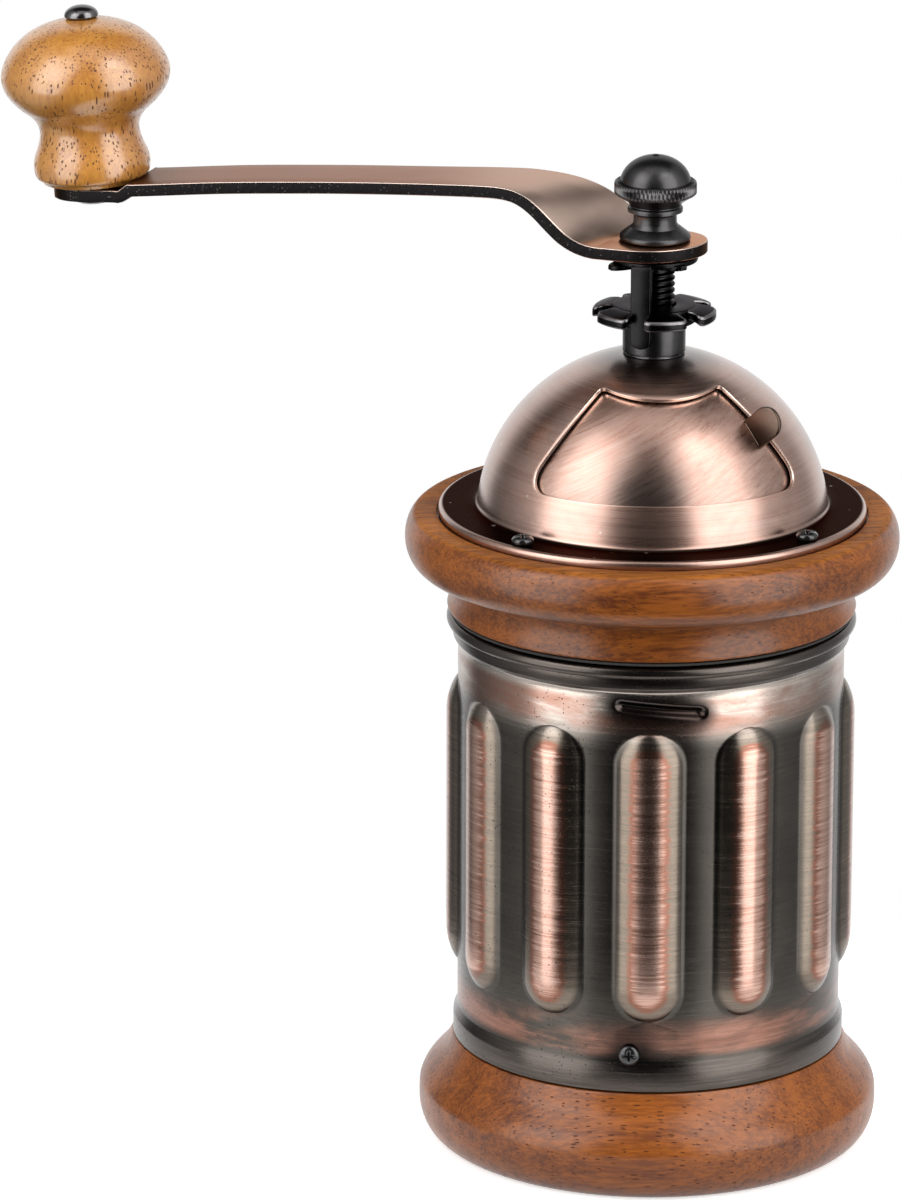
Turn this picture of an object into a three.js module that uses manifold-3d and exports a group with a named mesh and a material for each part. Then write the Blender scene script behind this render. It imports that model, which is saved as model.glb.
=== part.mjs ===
// A hand coffee mill: a turned wooden base, a ribbed steel can that catches the grounds, a turned
// wooden collar under a domed steel hopper with a sliding door, and a cranked arm with a wooden knob.
// Lengths are millimetres and angles are degrees. Z runs up the axis of the mill from the underside
// of the base, and the front is towards -Y. An azimuth is counted from the front towards +X.
import * as THREE from "three";
import { mergeVertices } from "three/addons/utils/BufferGeometryUtils.js";
import Module from "manifold-3d";

const wasm = await Module();
wasm.setup();

// Clearances: between pieces that rest on one another, between pieces that turn or slide on one
// another, round a screw or pin in its hole, and how far a cutting shape runs past what it cuts
const seatGap = 0.3;
const runGap = 0.4;
const holeGap = 0.3;
const cutOverrun = 4;

// Facets round a full turn, steps along a rounded profile, and the tolerance that welds corners
const canFacets = 60;
const largeFacets = 36;
const knobFacets = 24;
const mediumFacets = 20;
const smallFacets = 16;
const screwFacets = 8;
const nutSides = 6;
const roundSteps = 3;
const edgeSteps = 2;
const domeSteps = 8;
const armCurveSegments = 10;
const weldTolerance = 1e-4;

// Wooden base
const baseShoulderReach = 1;
const baseBellyReach = 6.6;
const baseFootSetIn = 5;
const baseBellyHeight = 7.2;
const baseHeight = 20.7;
const spigotHeight = 11.5;
const spigotChamfer = 0.8;
const dishRimWidth = 4.4;
const dishDepth = 1.5;
// Shoulder line of the base, from the belly up: reach past the shoulder and height over the belly
const baseShoulderShares = [
  [1, 0.148],
  [0.955, 0.274],
  [0.788, 0.422],
  [0.515, 0.57],
  [0.242, 0.726],
  [0.076, 0.889],
  [0, 1],
];

// Grounds can: a drawn steel tube with a flared foot band, pressed ribs and a rolled rim
const canWall = 0.7;
const canHeight = 88;
const bandProud = 0.8;
const bandHeight = 5.2;
const rimProud = 2.3;
const rimHeight = 2.6;
const stepProud = 1.0;
const stepHeight = 4.7;
const ribCount = 12;
const ribWidth = 13.1;
const ribLength = 59.5;
const ribRise = 14.5;
const ribRowShares = [0.2, 0.5];
const ribProud = 2.3;

// Slanted locking beads pressed into the can wall
const beadCount = 3;
const beadWidth = 2.6;
const beadDepth = 1.1;
const beadSpan_deg = 25.5;
const beadFall = 1.57;
const beadBelowRim = 9.3;
const beadAzimuth_deg = 3;
const beadSteps = 5;
const beadSides = 6;

// Screws that hold the can to the base, through its wall
const canScrewCount = 3;
const canScrewAzimuth_deg = -4.7;
const canScrewRise = 7.7;
const canScrewHeadRadius = 2.05;
const canScrewHeadHeight = 1.2;
const canScrewShankRadius = 1.1;
const canScrewLength = 9;

// Fibre washer on the rim of the can
const rimWasherThickness = 0.5;
const rimWasherWidth = 2.2;
const rimWasherSetBack = 0.4;

// Wooden collar: a thick ring with a rounded brim over a slightly waisted neck
const neckOverhang = 2.2;
const neckWaistDepth = 0.7;
const neckCornerReach = 0.9;
const neckHeight = 8.4;
const brimReach = 7.5;
const brimRise = 5.8;
const brimFootReach = 3.3;
const brimCrownSetIn = 2.8;
const brimCrownRise = 5.1;
const brimBandReach = 1;
const bandRise = 4;
const flangeSeatRise = 1.6;
const bowlRecessDepth = 0.9;

// Locking ring inside the can mouth, with lugs that turn under the beads
const lockRingWall = 0.8;
const lockRingHeight = 15.8;
const lockFlangeWidth = 4.8;
const lugSpan_deg = 8;
const lugColumns = 2;
const lugHeight = 2.4;
const lugRestAngle_deg = 3.3;
const lockTurn_deg = 22;
const lockScrewCount = 3;
const lockScrewSetIn = 2.9;
const lockScrewHeadRadius = 1.6;
const lockScrewHeadHeight = 1.3;
const lockScrewShankRadius = 1;
const lockScrewLength = 8;

// Dome cover: a spun steel dome with a flat flange whose edge turns down over the collar
const domeWall = 0.8;
const domeCentreDrop = 3.5;
const domeCrownFlatRadius = 6.5;
const domeFootRound = 1.1;
const flangeWidth = 7.4;
const flangeSetIn = 0.1;
const flangeEdgeRound = 0.9;
const domeScrewCount = 4;
const domeScrewSetIn = 3.1;
const domeScrewAzimuth_deg = 50.2;
const domeScrewHeadRadius = 2.2;
const domeScrewHeadHeight = 1.5;
const domeScrewShankRadius = 1.1;
const domeScrewLength = 8;

// Filling opening in the dome, as azimuths and as angles down from the crown
const openingAzimuth_deg = 6.5;
const openingTopPolar_deg = 29;
const openingTopDip_deg = 3.4;
const openingBottomPolar_deg = 70;
const openingTopHalf_deg = 43.8;
const openingBottomHalf_deg = 56;
const openingFlarePower = 1.5;
const openingTopRound = 1;
const openingBottomRound = 5.4;
const openingColumns = 12;
const openingRows = 10;
const doorWasteColumns = 24;
const doorWasteRows = 2;

// Sliding door: a curved leaf under the dome, hung on a ring round the bearing, with a finger tab
const doorGap = 0.5;
const doorWall = 0.6;
const doorOverlap_deg = 4;
const doorRingPolar_deg = 21;
const doorTabAzimuth_deg = 50.4;
const doorTabPolar_deg = 49;
const doorTabWidth = 6.4;
const doorTabReach = 7.8;
const doorTabThickness = 1;

// Shaft bearing: a flanged bush through the crown of the dome and the collar nut that clamps it
const shaftRadius = 4;
const bushWall = 0.9;
const bushShoulderWidth = 1.4;
const bushFlangeRadius = 9.5;
const bushFlangeThickness = 1.5;
const bearingNutRadius = 6.2;
const bearingNutHeight = 5.7;

// Hopper bowl: a pressed steel funnel in the collar
const bowlRimReach = 1.8;
const bowlRimWidth = 2.8;
const bowlWallSlant = 2.5;
const bowlWaistDrop = 7.8;
const bowlThroatReach = 2.5;
const bowlWallInward = 0.65;
const bowlWallRise = 0.5;
const collarBoreGap = 1;

// Outer burr, fixed under the collar, and the bridge that carries the foot of the shaft
const outerBurrFlangeEdge = 3.8;
const outerBurrFlangeThickness = 3;
const outerBurrWall = 3.7;
const outerBurrHeight = 16;
const burrInletWidth = 5;
const burrOutletWidth = 0.9;
const burrToothCount = 9;
const burrToothDepth = 0.9;
const burrToothTwist_deg = 24;
const burrLevels = 4;
const burrScrewCount = 3;
const burrScrewAzimuth_deg = 60;
const burrScrewClear = 2.5;
const burrScrewHeadRadius = 2.4;
const burrScrewHeadHeight = 1.8;
const burrScrewShankRadius = 1.4;
const burrScrewLength = 10.5;
const bridgeStrapWidth = 8;
const bridgeStrapThickness = 2;
const bridgeHubRadius = 6.5;
const bridgeHubHeight = 3.2;
const bridgeDrop = 8.2;
const bridgeLegGap = 0.8;

// Inner burr and what holds it on the shaft
const innerBurrTopWall = 4;
const innerBurrFlare = 6.9;
const innerBurrHeight = 16.7;
const innerBurrRise = 1.2;
const shaftCollarRadius = 5.8;
const shaftCollarHeight = 2;
const burrWasherRadius = 8;
const burrWasherThickness = 1.2;
const burrNutCornerRadius = 7.5;
const burrNutHeight = 3.8;
const journalRadius = 3;
const journalReach = 1.2;

// Star-shaped adjusting nut on the thread of the shaft
const starRadius = 12.2;
const starThickness = 3.5;
const starLobeCount = 6;
const starEdgeRound = 0.6;
const starLobeSteps = 4;
const starLobeEndShare = 0.96;

// Locking plate, whose leg drops into a notch of the star nut
const plateRise = 11.5;
const plateRadius = 7.8;
const plateThickness = 1.95;
const plateAzimuth_deg = -18.5;
const legWidth = 4.5;
const legThickness = 1.6;
const legInnerRadius = 7.2;
const legLength = 17.3;

// Square drive and top stud of the shaft
const driveSide = 5.4;
const studRadius = 3;
const studReach = 9.4;

// Crank arm: a flat bar with a hub eye, a step up and a gentle fall to the tip
const armReach = 118.6;
const armRise = 10.2;
const armThickness = 2.5;
const armHubRadius = 9.65;
const armRootWidth = 18.4;
const armWaistWidth = 15.4;
const armTipRadius = 8;
const armTipRise = 2;
const armTipPadRun = 9;
const armTurn_deg = 162;
const armCreaseSkew_deg = 11;
const knobTilt_deg = 3.8;
const armRootShare = 0.16;
const armWaistShare = 0.45;
const armSkewEndShare = 0.5;
// Upper line of the arm: distance out as shares of the reach, height as shares of the rise
const armLineShares = [
  [0.063, 0],
  [0.083, 0.155],
  [0.104, 0.32],
  [0.125, 0.52],
  [0.157, 0.745],
  [0.195, 0.925],
  [0.237, 0.995],
  [0.288, 0.985],
  [0.37, 0.93],
  [0.52, 0.817],
  [0.633, 0.716],
  [0.747, 0.6],
  [0.861, 0.452],
];

// Turned knob on its pin
const knobRadius = 17;
const knobHeight = 32.2;
const knobPinRadius = 2;
const knobPinHeadRadius = 3.45;
const knobPinHeadHeight = 2.4;
const knobPinFootRadius = 4.2;
const knobPinFootHeight = 1.2;
const knobWasherRadius = 5.5;
const knobWasherThickness = 0.6;
// Knob outline: radius as shares of its radius, height as shares of its height
const knobOutlineShares = [
  [0.62, 0],
  [0.672, 0.022],
  [0.69, 0.091],
  [0.665, 0.15],
  [0.612, 0.224],
  [0.587, 0.299],
  [0.615, 0.358],
  [0.69, 0.411],
  [0.83, 0.475],
  [0.955, 0.56],
  [1, 0.65],
  [0.96, 0.735],
  [0.875, 0.81],
  [0.775, 0.868],
  [0.625, 0.926],
  [0.43, 0.97],
  [0.2, 1],
];

// Cap nut that holds the arm down
const capRimRadius = 8.1;
const capHeight = 17;
const capBoreDepth = 11;
// Cap nut outline: radius as shares of its rim radius, height as shares of its height
const capOutlineShares = [
  [0.83, 0],
  [0.875, 0.02],
  [0.875, 0.05],
  [0.58, 0.16],
  [0.53, 0.185],
  [0.53, 0.345],
  [0.64, 0.375],
  [0.64, 0.43],
  [0.59, 0.455],
  [0.91, 0.565],
  [1, 0.6],
  [1, 0.745],
  [0.895, 0.765],
  [0.85, 0.825],
  [0.72, 0.905],
  [0.47, 0.97],
  [0.22, 0.997],
];

// Heights and radii that follow from the sizes above
const halfShare = 0.5;
const innerBurrTopRadius = shaftRadius + innerBurrTopWall;
const innerBurrBottomRadius = innerBurrTopRadius + innerBurrFlare;
const outerBurrTopRadius = innerBurrTopRadius + burrInletWidth;
const outerBurrBottomRadius = innerBurrBottomRadius + burrOutletWidth;
const outerBurrBodyRadius = outerBurrBottomRadius + outerBurrWall;
const bridgeLegRadius = outerBurrBodyRadius + bridgeLegGap;
const bridgeLegOuterRadius = bridgeLegRadius + bridgeStrapThickness;
const burrScrewCircleRadius = bridgeLegOuterRadius + burrScrewHeadRadius + burrScrewClear;
const outerBurrFlangeRadius = burrScrewCircleRadius + outerBurrFlangeEdge;
const lockRingRadius = outerBurrFlangeRadius + runGap + lockFlangeWidth;
const lockScrewCircleRadius = lockRingRadius - lockScrewSetIn;
const canInnerRadius = lockRingRadius + runGap + beadDepth;
const canRadius = canInnerRadius + canWall;
const spigotRadius = canInnerRadius - seatGap;
const dishRadius = spigotRadius - dishRimWidth;
const baseShoulderRadius = canRadius + baseShoulderReach;
const baseBellyRadius = baseShoulderRadius + baseBellyReach;
const baseFootRadius = baseBellyRadius - baseFootSetIn;
const neckFootRadius = canRadius + neckOverhang;
const neckWaistRadius = neckFootRadius - neckWaistDepth;
const neckCornerRadius = neckFootRadius + neckCornerReach;
const brimRadius = neckCornerRadius + brimReach;
const brimFootRadius = neckCornerRadius + brimFootReach;
const brimCrownRadius = brimRadius - brimCrownSetIn;
const brimBandRadius = neckCornerRadius + brimBandReach;
const flangeRadius = brimBandRadius - flangeSetIn;
const domeRadius = flangeRadius - flangeWidth;
const domeScrewCircleRadius = flangeRadius - domeScrewSetIn;
const bowlRimRadius = domeRadius + bowlRimReach;
const bowlMouthRadius = bowlRimRadius - bowlRimWidth;
const bowlWaistRadius = bowlMouthRadius - bowlWallSlant;
const bowlThroatRadius = outerBurrTopRadius + bowlThroatReach;
const spigotTopZ = baseHeight + spigotHeight;
const canFootZ = baseHeight + seatGap;
const canTopZ = canFootZ + canHeight;
const rimWasherZ = canTopZ + seatGap;
const collarZ = rimWasherZ + rimWasherThickness + seatGap;
const brimZ = collarZ + neckHeight + brimRise;
const brimTopZ = brimZ + brimCrownRise;
const bandZ = brimZ + bandRise;
const flangeSeatZ = bandZ + flangeSeatRise;
const flangeUnderZ = flangeSeatZ + seatGap;
const flangeTopZ = flangeUnderZ + domeWall;
const flangeStepRadius = flangeRadius - domeWall - runGap;
const domeCentreZ = flangeTopZ - domeCentreDrop;
const domeInnerRadius = domeRadius - domeWall;
const crownZ = domeCentreZ + Math.sqrt(domeRadius ** 2 - domeCrownFlatRadius ** 2);
const bushInnerRadius = shaftRadius + holeGap;
const bushRadius = bushInnerRadius + bushWall;
const domeHoleRadius = bushRadius + runGap;
const bushShoulderRadius = bushRadius + bushShoulderWidth;
const doorOuterRadius = domeInnerRadius - doorGap;
const doorInnerRadius = doorOuterRadius - doorWall;
const doorRingBore = bushShoulderRadius + runGap;
const bushFlangeZ = domeCentreZ + Math.sqrt(doorInnerRadius ** 2 - bushFlangeRadius ** 2) - seatGap;
const bearingNutZ = crownZ + seatGap;
const bearingTopZ = bearingNutZ + bearingNutHeight;
const starZ = bearingTopZ + seatGap;
const plateZ = starZ + plateRise;
const shaftShoulderZ = plateZ - seatGap;
const armZ = plateZ + plateThickness + seatGap;
const armTopZ = armZ + armThickness;
const capZ = armTopZ + seatGap;
const studTopZ = capZ + studReach;
const bowlRimZ = flangeSeatZ - bowlRecessDepth + seatGap;
const burrTopZ = collarZ - seatGap;
const burrFlangeUnderZ = burrTopZ - outerBurrFlangeThickness;
const burrFootZ = burrTopZ - outerBurrHeight;
const bowlThroatZ = burrTopZ + seatGap;
const innerBurrTopZ = burrTopZ + innerBurrRise;
const innerBurrFootZ = innerBurrTopZ - innerBurrHeight;
const burrWasherZ = innerBurrFootZ - seatGap - burrWasherThickness;
const burrNutZ = burrWasherZ - seatGap - burrNutHeight;
const bridgeZ = burrFootZ - bridgeDrop - bridgeHubHeight;
const bridgeFootZ = burrFlangeUnderZ - seatGap - bridgeStrapThickness;
const shaftFootZ = bridgeZ - journalReach;
const driveHole = driveSide + seatGap + seatGap;
const notchWidth = legWidth + runGap + runGap;
const notchFloorRadius = legInnerRadius - runGap;
const knobSeatHeight = seatGap + knobWasherThickness + seatGap;

const degree = Math.PI / 180;
const quarterTurn = Math.PI / 2;
const halfTurn = Math.PI;
const fullTurn = Math.PI * 2;
const fullTurn_deg = 360;
const quarterTurn_deg = 90;

// A closed geometry as a solid, with its faces turned outwards
function solid(geometry) {
  const bare = geometry.index ? geometry.toNonIndexed() : geometry.clone();
  bare.deleteAttribute("normal");
  bare.deleteAttribute("uv");
  const merged = mergeVertices(bare, weldTolerance);
  const vertProperties = merged.attributes.position.array;
  const triVerts = new Uint32Array(merged.index.array);
  const made = new wasm.Manifold(new wasm.Mesh({ numProp: 3, vertProperties, triVerts }));
  if (made.volume() > 0) return made;
  for (let i = 0; i < triVerts.length; i += 3) {
    [triVerts[i + 1], triVerts[i + 2]] = [triVerts[i + 2], triVerts[i + 1]];
  }
  return new wasm.Manifold(new wasm.Mesh({ numProp: 3, vertProperties, triVerts }));
}

// A solid as a geometry again
function geometryOf(made) {
  const result = made.getMesh();
  const geometry = new THREE.BufferGeometry();
  geometry.setAttribute("position", new THREE.BufferAttribute(new Float32Array(result.vertProperties), 3));
  geometry.setIndex(new THREE.BufferAttribute(new Uint32Array(result.triVerts), 1));
  geometry.computeVertexNormals();
  return geometry;
}

function cutAll(body, cutters) {
  return cutters.reduce((left, cutter) => left.subtract(cutter), body);
}

// A profile of [radius, height] points turned about Z. It starts and ends on the axis, or it closes
// on itself.
function turned(profile, facets) {
  const onAxis = profile[0][0] === 0;
  const closed = onAxis ? profile : [...profile, profile[0]];
  const points = closed.map(([radius, height]) => new THREE.Vector2(radius, height));
  return new THREE.LatheGeometry(points, facets).rotateX(quarterTurn);
}

// Points of an elliptical arc in a profile, from one angle to another
function arc(centre, radii, from_deg, to_deg, steps) {
  const points = [];
  for (let i = 0; i <= steps; i += 1) {
    const angle = THREE.MathUtils.lerp(from_deg, to_deg, i / steps) * degree;
    points.push([centre[0] + radii[0] * Math.cos(angle), centre[1] + radii[1] * Math.sin(angle)]);
  }
  return points;
}

function round(centre, radii, from_deg, to_deg) {
  return arc(centre, radii, from_deg, to_deg, roundSteps);
}

// An upright cylinder between two heights
function rod(radius, low, high, facets) {
  const geometry = new THREE.CylinderGeometry(radius, radius, high - low, facets).rotateX(quarterTurn);
  return geometry.translate(0, 0, (high + low) * halfShare);
}

// An upright ring between two heights
function ring(inner, outer, low, high, facets) {
  return turned([[inner, low], [outer, low], [outer, high], [inner, high]], facets);
}

// A box between two heights, centred on the axis
function block(alongX, alongY, low, high) {
  return new THREE.BoxGeometry(alongX, alongY, high - low).translate(0, 0, (high + low) * halfShare);
}

// A point at a radius and an azimuth, as plan coordinates
function plan(radius, azimuth_deg) {
  const angle = azimuth_deg * degree;
  return [radius * Math.sin(angle), -radius * Math.cos(angle)];
}

// Turns a geometry from azimuth zero to another azimuth
function toAzimuth(geometry, azimuth_deg) {
  return geometry.rotateZ(azimuth_deg * degree);
}

// Azimuths of equally spaced copies
function spread(count, first_deg) {
  return Array.from({ length: count }, (unused, i) => first_deg + (i * fullTurn_deg) / count);
}

// Moves each vertex of a geometry to where a rule puts it
function reshape(geometry, rule) {
  const position = geometry.attributes.position;
  const point = new THREE.Vector3();
  for (let i = 0; i < position.count; i += 1) {
    point.fromBufferAttribute(position, i);
    const placed = rule(point);
    position.setXYZ(i, placed.x, placed.y, placed.z);
  }
  return geometry;
}

// A point of the dome, at a radius from its centre, an azimuth and an angle down from the crown
function domePoint(radius, azimuth_deg, polar_deg) {
  const out = radius * Math.sin(polar_deg * degree);
  const [x, y] = plan(out, azimuth_deg);
  return new THREE.Vector3(x, y, domeCentreZ + radius * Math.cos(polar_deg * degree));
}

// A box bent round the dome: its columns and rows follow azimuths and angles down from the crown
function domePatch(inner, outer, columns, rows, place) {
  const box = new THREE.BoxGeometry(1, 1, 1, columns, rows, 1);
  return reshape(box, (point) => {
    const [azimuth_deg, polar_deg] = place(point.x + halfShare, halfShare - point.y);
    return domePoint(point.z > 0 ? outer : inner, azimuth_deg, polar_deg);
  });
}

// Rounded-off part of a width near a corner, for a distance from the edge where the corner ends
function cornerInset(distance, radius) {
  if (distance >= radius) return 0;
  return radius - Math.sqrt(Math.max(radius ** 2 - (radius - distance) ** 2, 0));
}

// A domed screw with its head's underside at zero and its shank below
function screwGeometry(headRadius, headHeight, shankRadius, length) {
  const profile = [
    [0, -length],
    [shankRadius, -length + shankRadius],
    [shankRadius, 0],
    [headRadius, 0],
    ...arc([0, headHeight * halfShare], [headRadius, headHeight * halfShare], 0, quarterTurn_deg, edgeSteps),
  ];
  profile[profile.length - 1][0] = 0;
  return turned(profile, screwFacets);
}

// Wooden base, with the spigot that the can slips over
function woodBase() {
  const profile = [
    [0, 0],
    ...round(
      [baseFootRadius, baseBellyHeight],
      [baseBellyRadius - baseFootRadius, baseBellyHeight],
      -quarterTurn_deg,
      0,
    ),
    ...baseShoulderShares.map(([out, up]) => [
      baseShoulderRadius + out * baseBellyReach,
      baseBellyHeight + up * (baseHeight - baseBellyHeight),
    ]),
    [spigotRadius, baseHeight],
    [spigotRadius, spigotTopZ - spigotChamfer],
    [spigotRadius - spigotChamfer, spigotTopZ],
    [dishRadius, spigotTopZ],
    [dishRadius - dishDepth, spigotTopZ - dishDepth],
    [0, spigotTopZ - dishDepth],
  ];
  return cutAll(solid(turned(profile, largeFacets)), canScrewHoles());
}

// Holes for the screws through the can wall, running well into the base
function canScrewHoles() {
  const radius = canScrewShankRadius + holeGap;
  const length = canScrewLength + bandProud + cutOverrun;
  return spread(canScrewCount, canScrewAzimuth_deg).map((azimuth_deg) => {
    const hole = new THREE.CylinderGeometry(radius, radius, length, screwFacets);
    hole.translate(0, -(canRadius + cutOverrun - length * halfShare), canFootZ + canScrewRise);
    return solid(toAzimuth(hole, azimuth_deg));
  });
}

// How far a rib stands out of the can wall at an azimuth and a height above the foot of the can
function ribBulge(azimuth_deg, height) {
  const pitch = fullTurn_deg / ribCount;
  const offset_deg = azimuth_deg - pitch * Math.round(azimuth_deg / pitch);
  const across = offset_deg * degree * canRadius;
  const halfWidth = ribWidth * halfShare;
  const low = ribRise + halfWidth;
  const high = ribRise + ribLength - halfWidth;
  const beyond = Math.max(low - height, height - high, 0);
  const share = Math.hypot(across, beyond) / halfWidth;
  return share < 1 ? ribProud * Math.sqrt(1 - share ** 2) : 0;
}

// Heights on the can wall at which a rib needs a row of corners
function ribLevels() {
  const halfWidth = ribWidth * halfShare;
  const top = ribRise + ribLength;
  const rows = [0, ...ribRowShares].map((share) => share * halfWidth);
  return [...rows.map((row) => ribRise + row), ...rows.map((row) => top - row).reverse()];
}

// Presses the ribs out of a turned can surface
function pressRibs(geometry) {
  return reshape(geometry, (point) => {
    const radius = Math.hypot(point.x, point.y);
    if (radius < canRadius * halfShare) return point;
    const azimuth_deg = Math.atan2(point.x, -point.y) / degree;
    const share = 1 + ribBulge(azimuth_deg, point.z) / radius;
    return new THREE.Vector3(point.x * share, point.y * share, point.z);
  });
}

// A line along one locking bead, falling from left to right
class BeadLine extends THREE.Curve {
  constructor(radius, azimuth_deg) {
    super();
    this.radius = radius;
    this.azimuth_deg = azimuth_deg;
  }

  getPoint(share) {
    const along = share - halfShare;
    const [x, y] = plan(this.radius, this.azimuth_deg + along * beadSpan_deg);
    return new THREE.Vector3(x, y, canHeight - beadBelowRim - along * beadFall);
  }
}

// A round bar along one locking bead
function beadBar(barRadius, azimuth_deg) {
  const shape = new THREE.Shape();
  shape.absarc(0, 0, barRadius, 0, fullTurn, false);
  const lineRadius = canRadius + beadWidth * halfShare - beadDepth;
  const extrudePath = new BeadLine(lineRadius, azimuth_deg);
  const curveSegments = beadSides * halfShare;
  const settings = { steps: beadSteps, curveSegments, extrudePath, bevelEnabled: false };
  return solid(new THREE.ExtrudeGeometry(shape, settings));
}

// Grounds can: the outer form less its grooves, cut by the hollow less the ridges behind them
function groundsCan() {
  const outerStep = canRadius + stepProud;
  const outer = [
    [0, 0],
    [canRadius + bandProud, 0],
    [canRadius + bandProud, bandHeight - bandProud],
    [canRadius, bandHeight + bandProud],
    ...ribLevels().map((height) => [canRadius, height]),
    [canRadius, canHeight - stepHeight - stepProud],
    [outerStep, canHeight - stepHeight],
    ...arc(
      [outerStep, canHeight - rimHeight * halfShare],
      [rimProud - stepProud, rimHeight * halfShare],
      -quarterTurn_deg,
      quarterTurn_deg,
      roundSteps,
    ),
    [0, canHeight],
  ];
  const inner = [
    [0, -cutOverrun],
    [canInnerRadius, -cutOverrun],
    ...ribLevels().map((height) => [canInnerRadius, height]),
    [canInnerRadius, canHeight + cutOverrun],
    [0, canHeight + cutOverrun],
  ];
  const beads = spread(beadCount, beadAzimuth_deg);
  const grooves = beads.map((azimuth_deg) => beadBar(beadWidth * halfShare, azimuth_deg));
  const ridges = beads.map((azimuth_deg) => beadBar(beadWidth * halfShare + canWall, azimuth_deg));
  const body = cutAll(solid(pressRibs(turned(outer, canFacets))), grooves);
  const hollow = cutAll(solid(pressRibs(turned(inner, canFacets))), ridges);
  const wall = body.subtract(hollow).translate([0, 0, canFootZ]);
  return cutAll(wall, canScrewHoles());
}

// Fibre washer that the collar beds on
function rimWasher() {
  const outer = neckFootRadius - rimWasherSetBack;
  return solid(ring(outer - rimWasherWidth, outer, rimWasherZ, rimWasherZ + rimWasherThickness, largeFacets));
}

// Lower and upper lines of the hopper bowl between its rim and its throat
function bowlLine(inward, rise) {
  return [
    [bowlMouthRadius - inward, bowlRimZ + rise],
    [bowlWaistRadius - inward, bowlRimZ - bowlWaistDrop + rise],
    [bowlThroatRadius - inward, bowlThroatZ + rise],
  ];
}

// Upright holes on a circle
function uprightHoles(count, first_deg, circleRadius, radius, low, high) {
  return spread(count, first_deg).map((azimuth_deg) => {
    const [x, y] = plan(circleRadius, azimuth_deg);
    return solid(rod(radius, low, high, screwFacets).translate(x, y, 0));
  });
}

function domeScrewHoles(low, high) {
  const radius = domeScrewShankRadius + holeGap;
  return uprightHoles(domeScrewCount, domeScrewAzimuth_deg, domeScrewCircleRadius, radius, low, high);
}

function lockScrewHoles(low, high) {
  const radius = lockScrewShankRadius + holeGap;
  return uprightHoles(lockScrewCount, 0, lockScrewCircleRadius, radius, low, high);
}

function burrScrewHoles(low, high) {
  const radius = burrScrewShankRadius + holeGap;
  return uprightHoles(burrScrewCount, burrScrewAzimuth_deg, burrScrewCircleRadius, radius, low, high);
}

// Wooden collar, with the funnel seat for the bowl and the holes for its screws
function woodCollar() {
  const funnel = bowlLine(-seatGap, -seatGap);
  const bore = bowlThroatRadius + collarBoreGap;
  const throatRise = (funnel[1][1] - funnel[2][1]) / (funnel[1][0] - funnel[2][0]);
  const boreZ = funnel[2][1] + (bore - funnel[2][0]) * throatRise;
  const profile = [
    [bore, collarZ],
    [neckFootRadius - rimWasherSetBack, collarZ],
    [neckFootRadius, collarZ + rimWasherSetBack],
    [neckWaistRadius, collarZ + neckHeight * halfShare],
    [neckWaistRadius + (neckCornerRadius - neckWaistRadius) * halfShare, collarZ + neckHeight - seatGap],
    [neckCornerRadius, collarZ + neckHeight],
    ...round([brimFootRadius, brimZ], [brimRadius - brimFootRadius, brimRise], -quarterTurn_deg, 0),
    ...round([brimCrownRadius, brimZ], [brimCrownSetIn, brimCrownRise], 0, quarterTurn_deg).slice(1),
    [flangeRadius + seatGap, brimTopZ],
    [flangeRadius + seatGap, bandZ],
    [flangeStepRadius, bandZ],
    [flangeStepRadius, flangeSeatZ],
    [bowlRimRadius + seatGap, flangeSeatZ],
    [bowlRimRadius + seatGap, bowlRimZ - seatGap],
    funnel[0],
    funnel[1],
    [bore, boreZ],
  ];
  const body = solid(turned(profile, largeFacets));
  const domeHoles = domeScrewHoles(flangeTopZ - domeScrewLength - seatGap, flangeSeatZ + cutOverrun);
  const lockHoles = lockScrewHoles(collarZ - cutOverrun, lockScrewZ() + lockScrewLength + seatGap);
  const burrHoles = burrScrewHoles(collarZ - cutOverrun, burrScrewZ() + burrScrewLength + seatGap);
  return cutAll(body, [...domeHoles, ...lockHoles, ...burrHoles]);
}

function lockScrewZ() {
  return burrTopZ - lockRingWall - seatGap;
}

function lugAzimuth_deg() {
  return beadAzimuth_deg - beadSpan_deg * halfShare - lugSpan_deg * halfShare - lugRestAngle_deg;
}

// Height of the top of the lugs, clear of the lowest point of the beads that they turn under
function lugTopZ() {
  const lead_deg = lugAzimuth_deg() + lockTurn_deg + lugSpan_deg * halfShare - beadAzimuth_deg;
  const fall = (lead_deg / beadSpan_deg) * beadFall;
  return canTopZ - beadBelowRim - fall - beadWidth * halfShare - canWall - runGap;
}

// One lug of the locking ring, as a bent block
function lockLug(azimuth_deg) {
  const box = new THREE.BoxGeometry(1, 1, 1, lugColumns, 1, 1);
  const inner = lockRingRadius - lockRingWall * halfShare;
  const outer = canInnerRadius - runGap;
  const bent = reshape(box, (point) => {
    const radius = point.y > 0 ? outer : inner;
    const [x, y] = plan(radius, azimuth_deg + point.x * lugSpan_deg);
    return new THREE.Vector3(x, y, lugTopZ() - lugHeight * (halfShare - point.z));
  });
  return solid(bent);
}

function lockRing() {
  const outer = lockRingRadius;
  const profile = [
    [outer - lockRingWall, burrTopZ - lockRingHeight],
    [outer, burrTopZ - lockRingHeight],
    [outer, burrTopZ],
    [outer - lockFlangeWidth, burrTopZ],
    [outer - lockFlangeWidth, burrTopZ - lockRingWall],
    [outer - lockRingWall, burrTopZ - lockRingWall],
  ];
  const lugs = spread(beadCount, lugAzimuth_deg()).map(lockLug);
  const body = lugs.reduce((joined, lug) => joined.add(lug), solid(turned(profile, largeFacets)));
  return cutAll(body, lockScrewHoles(burrTopZ - lockRingWall - cutOverrun, burrTopZ + cutOverrun));
}

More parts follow.
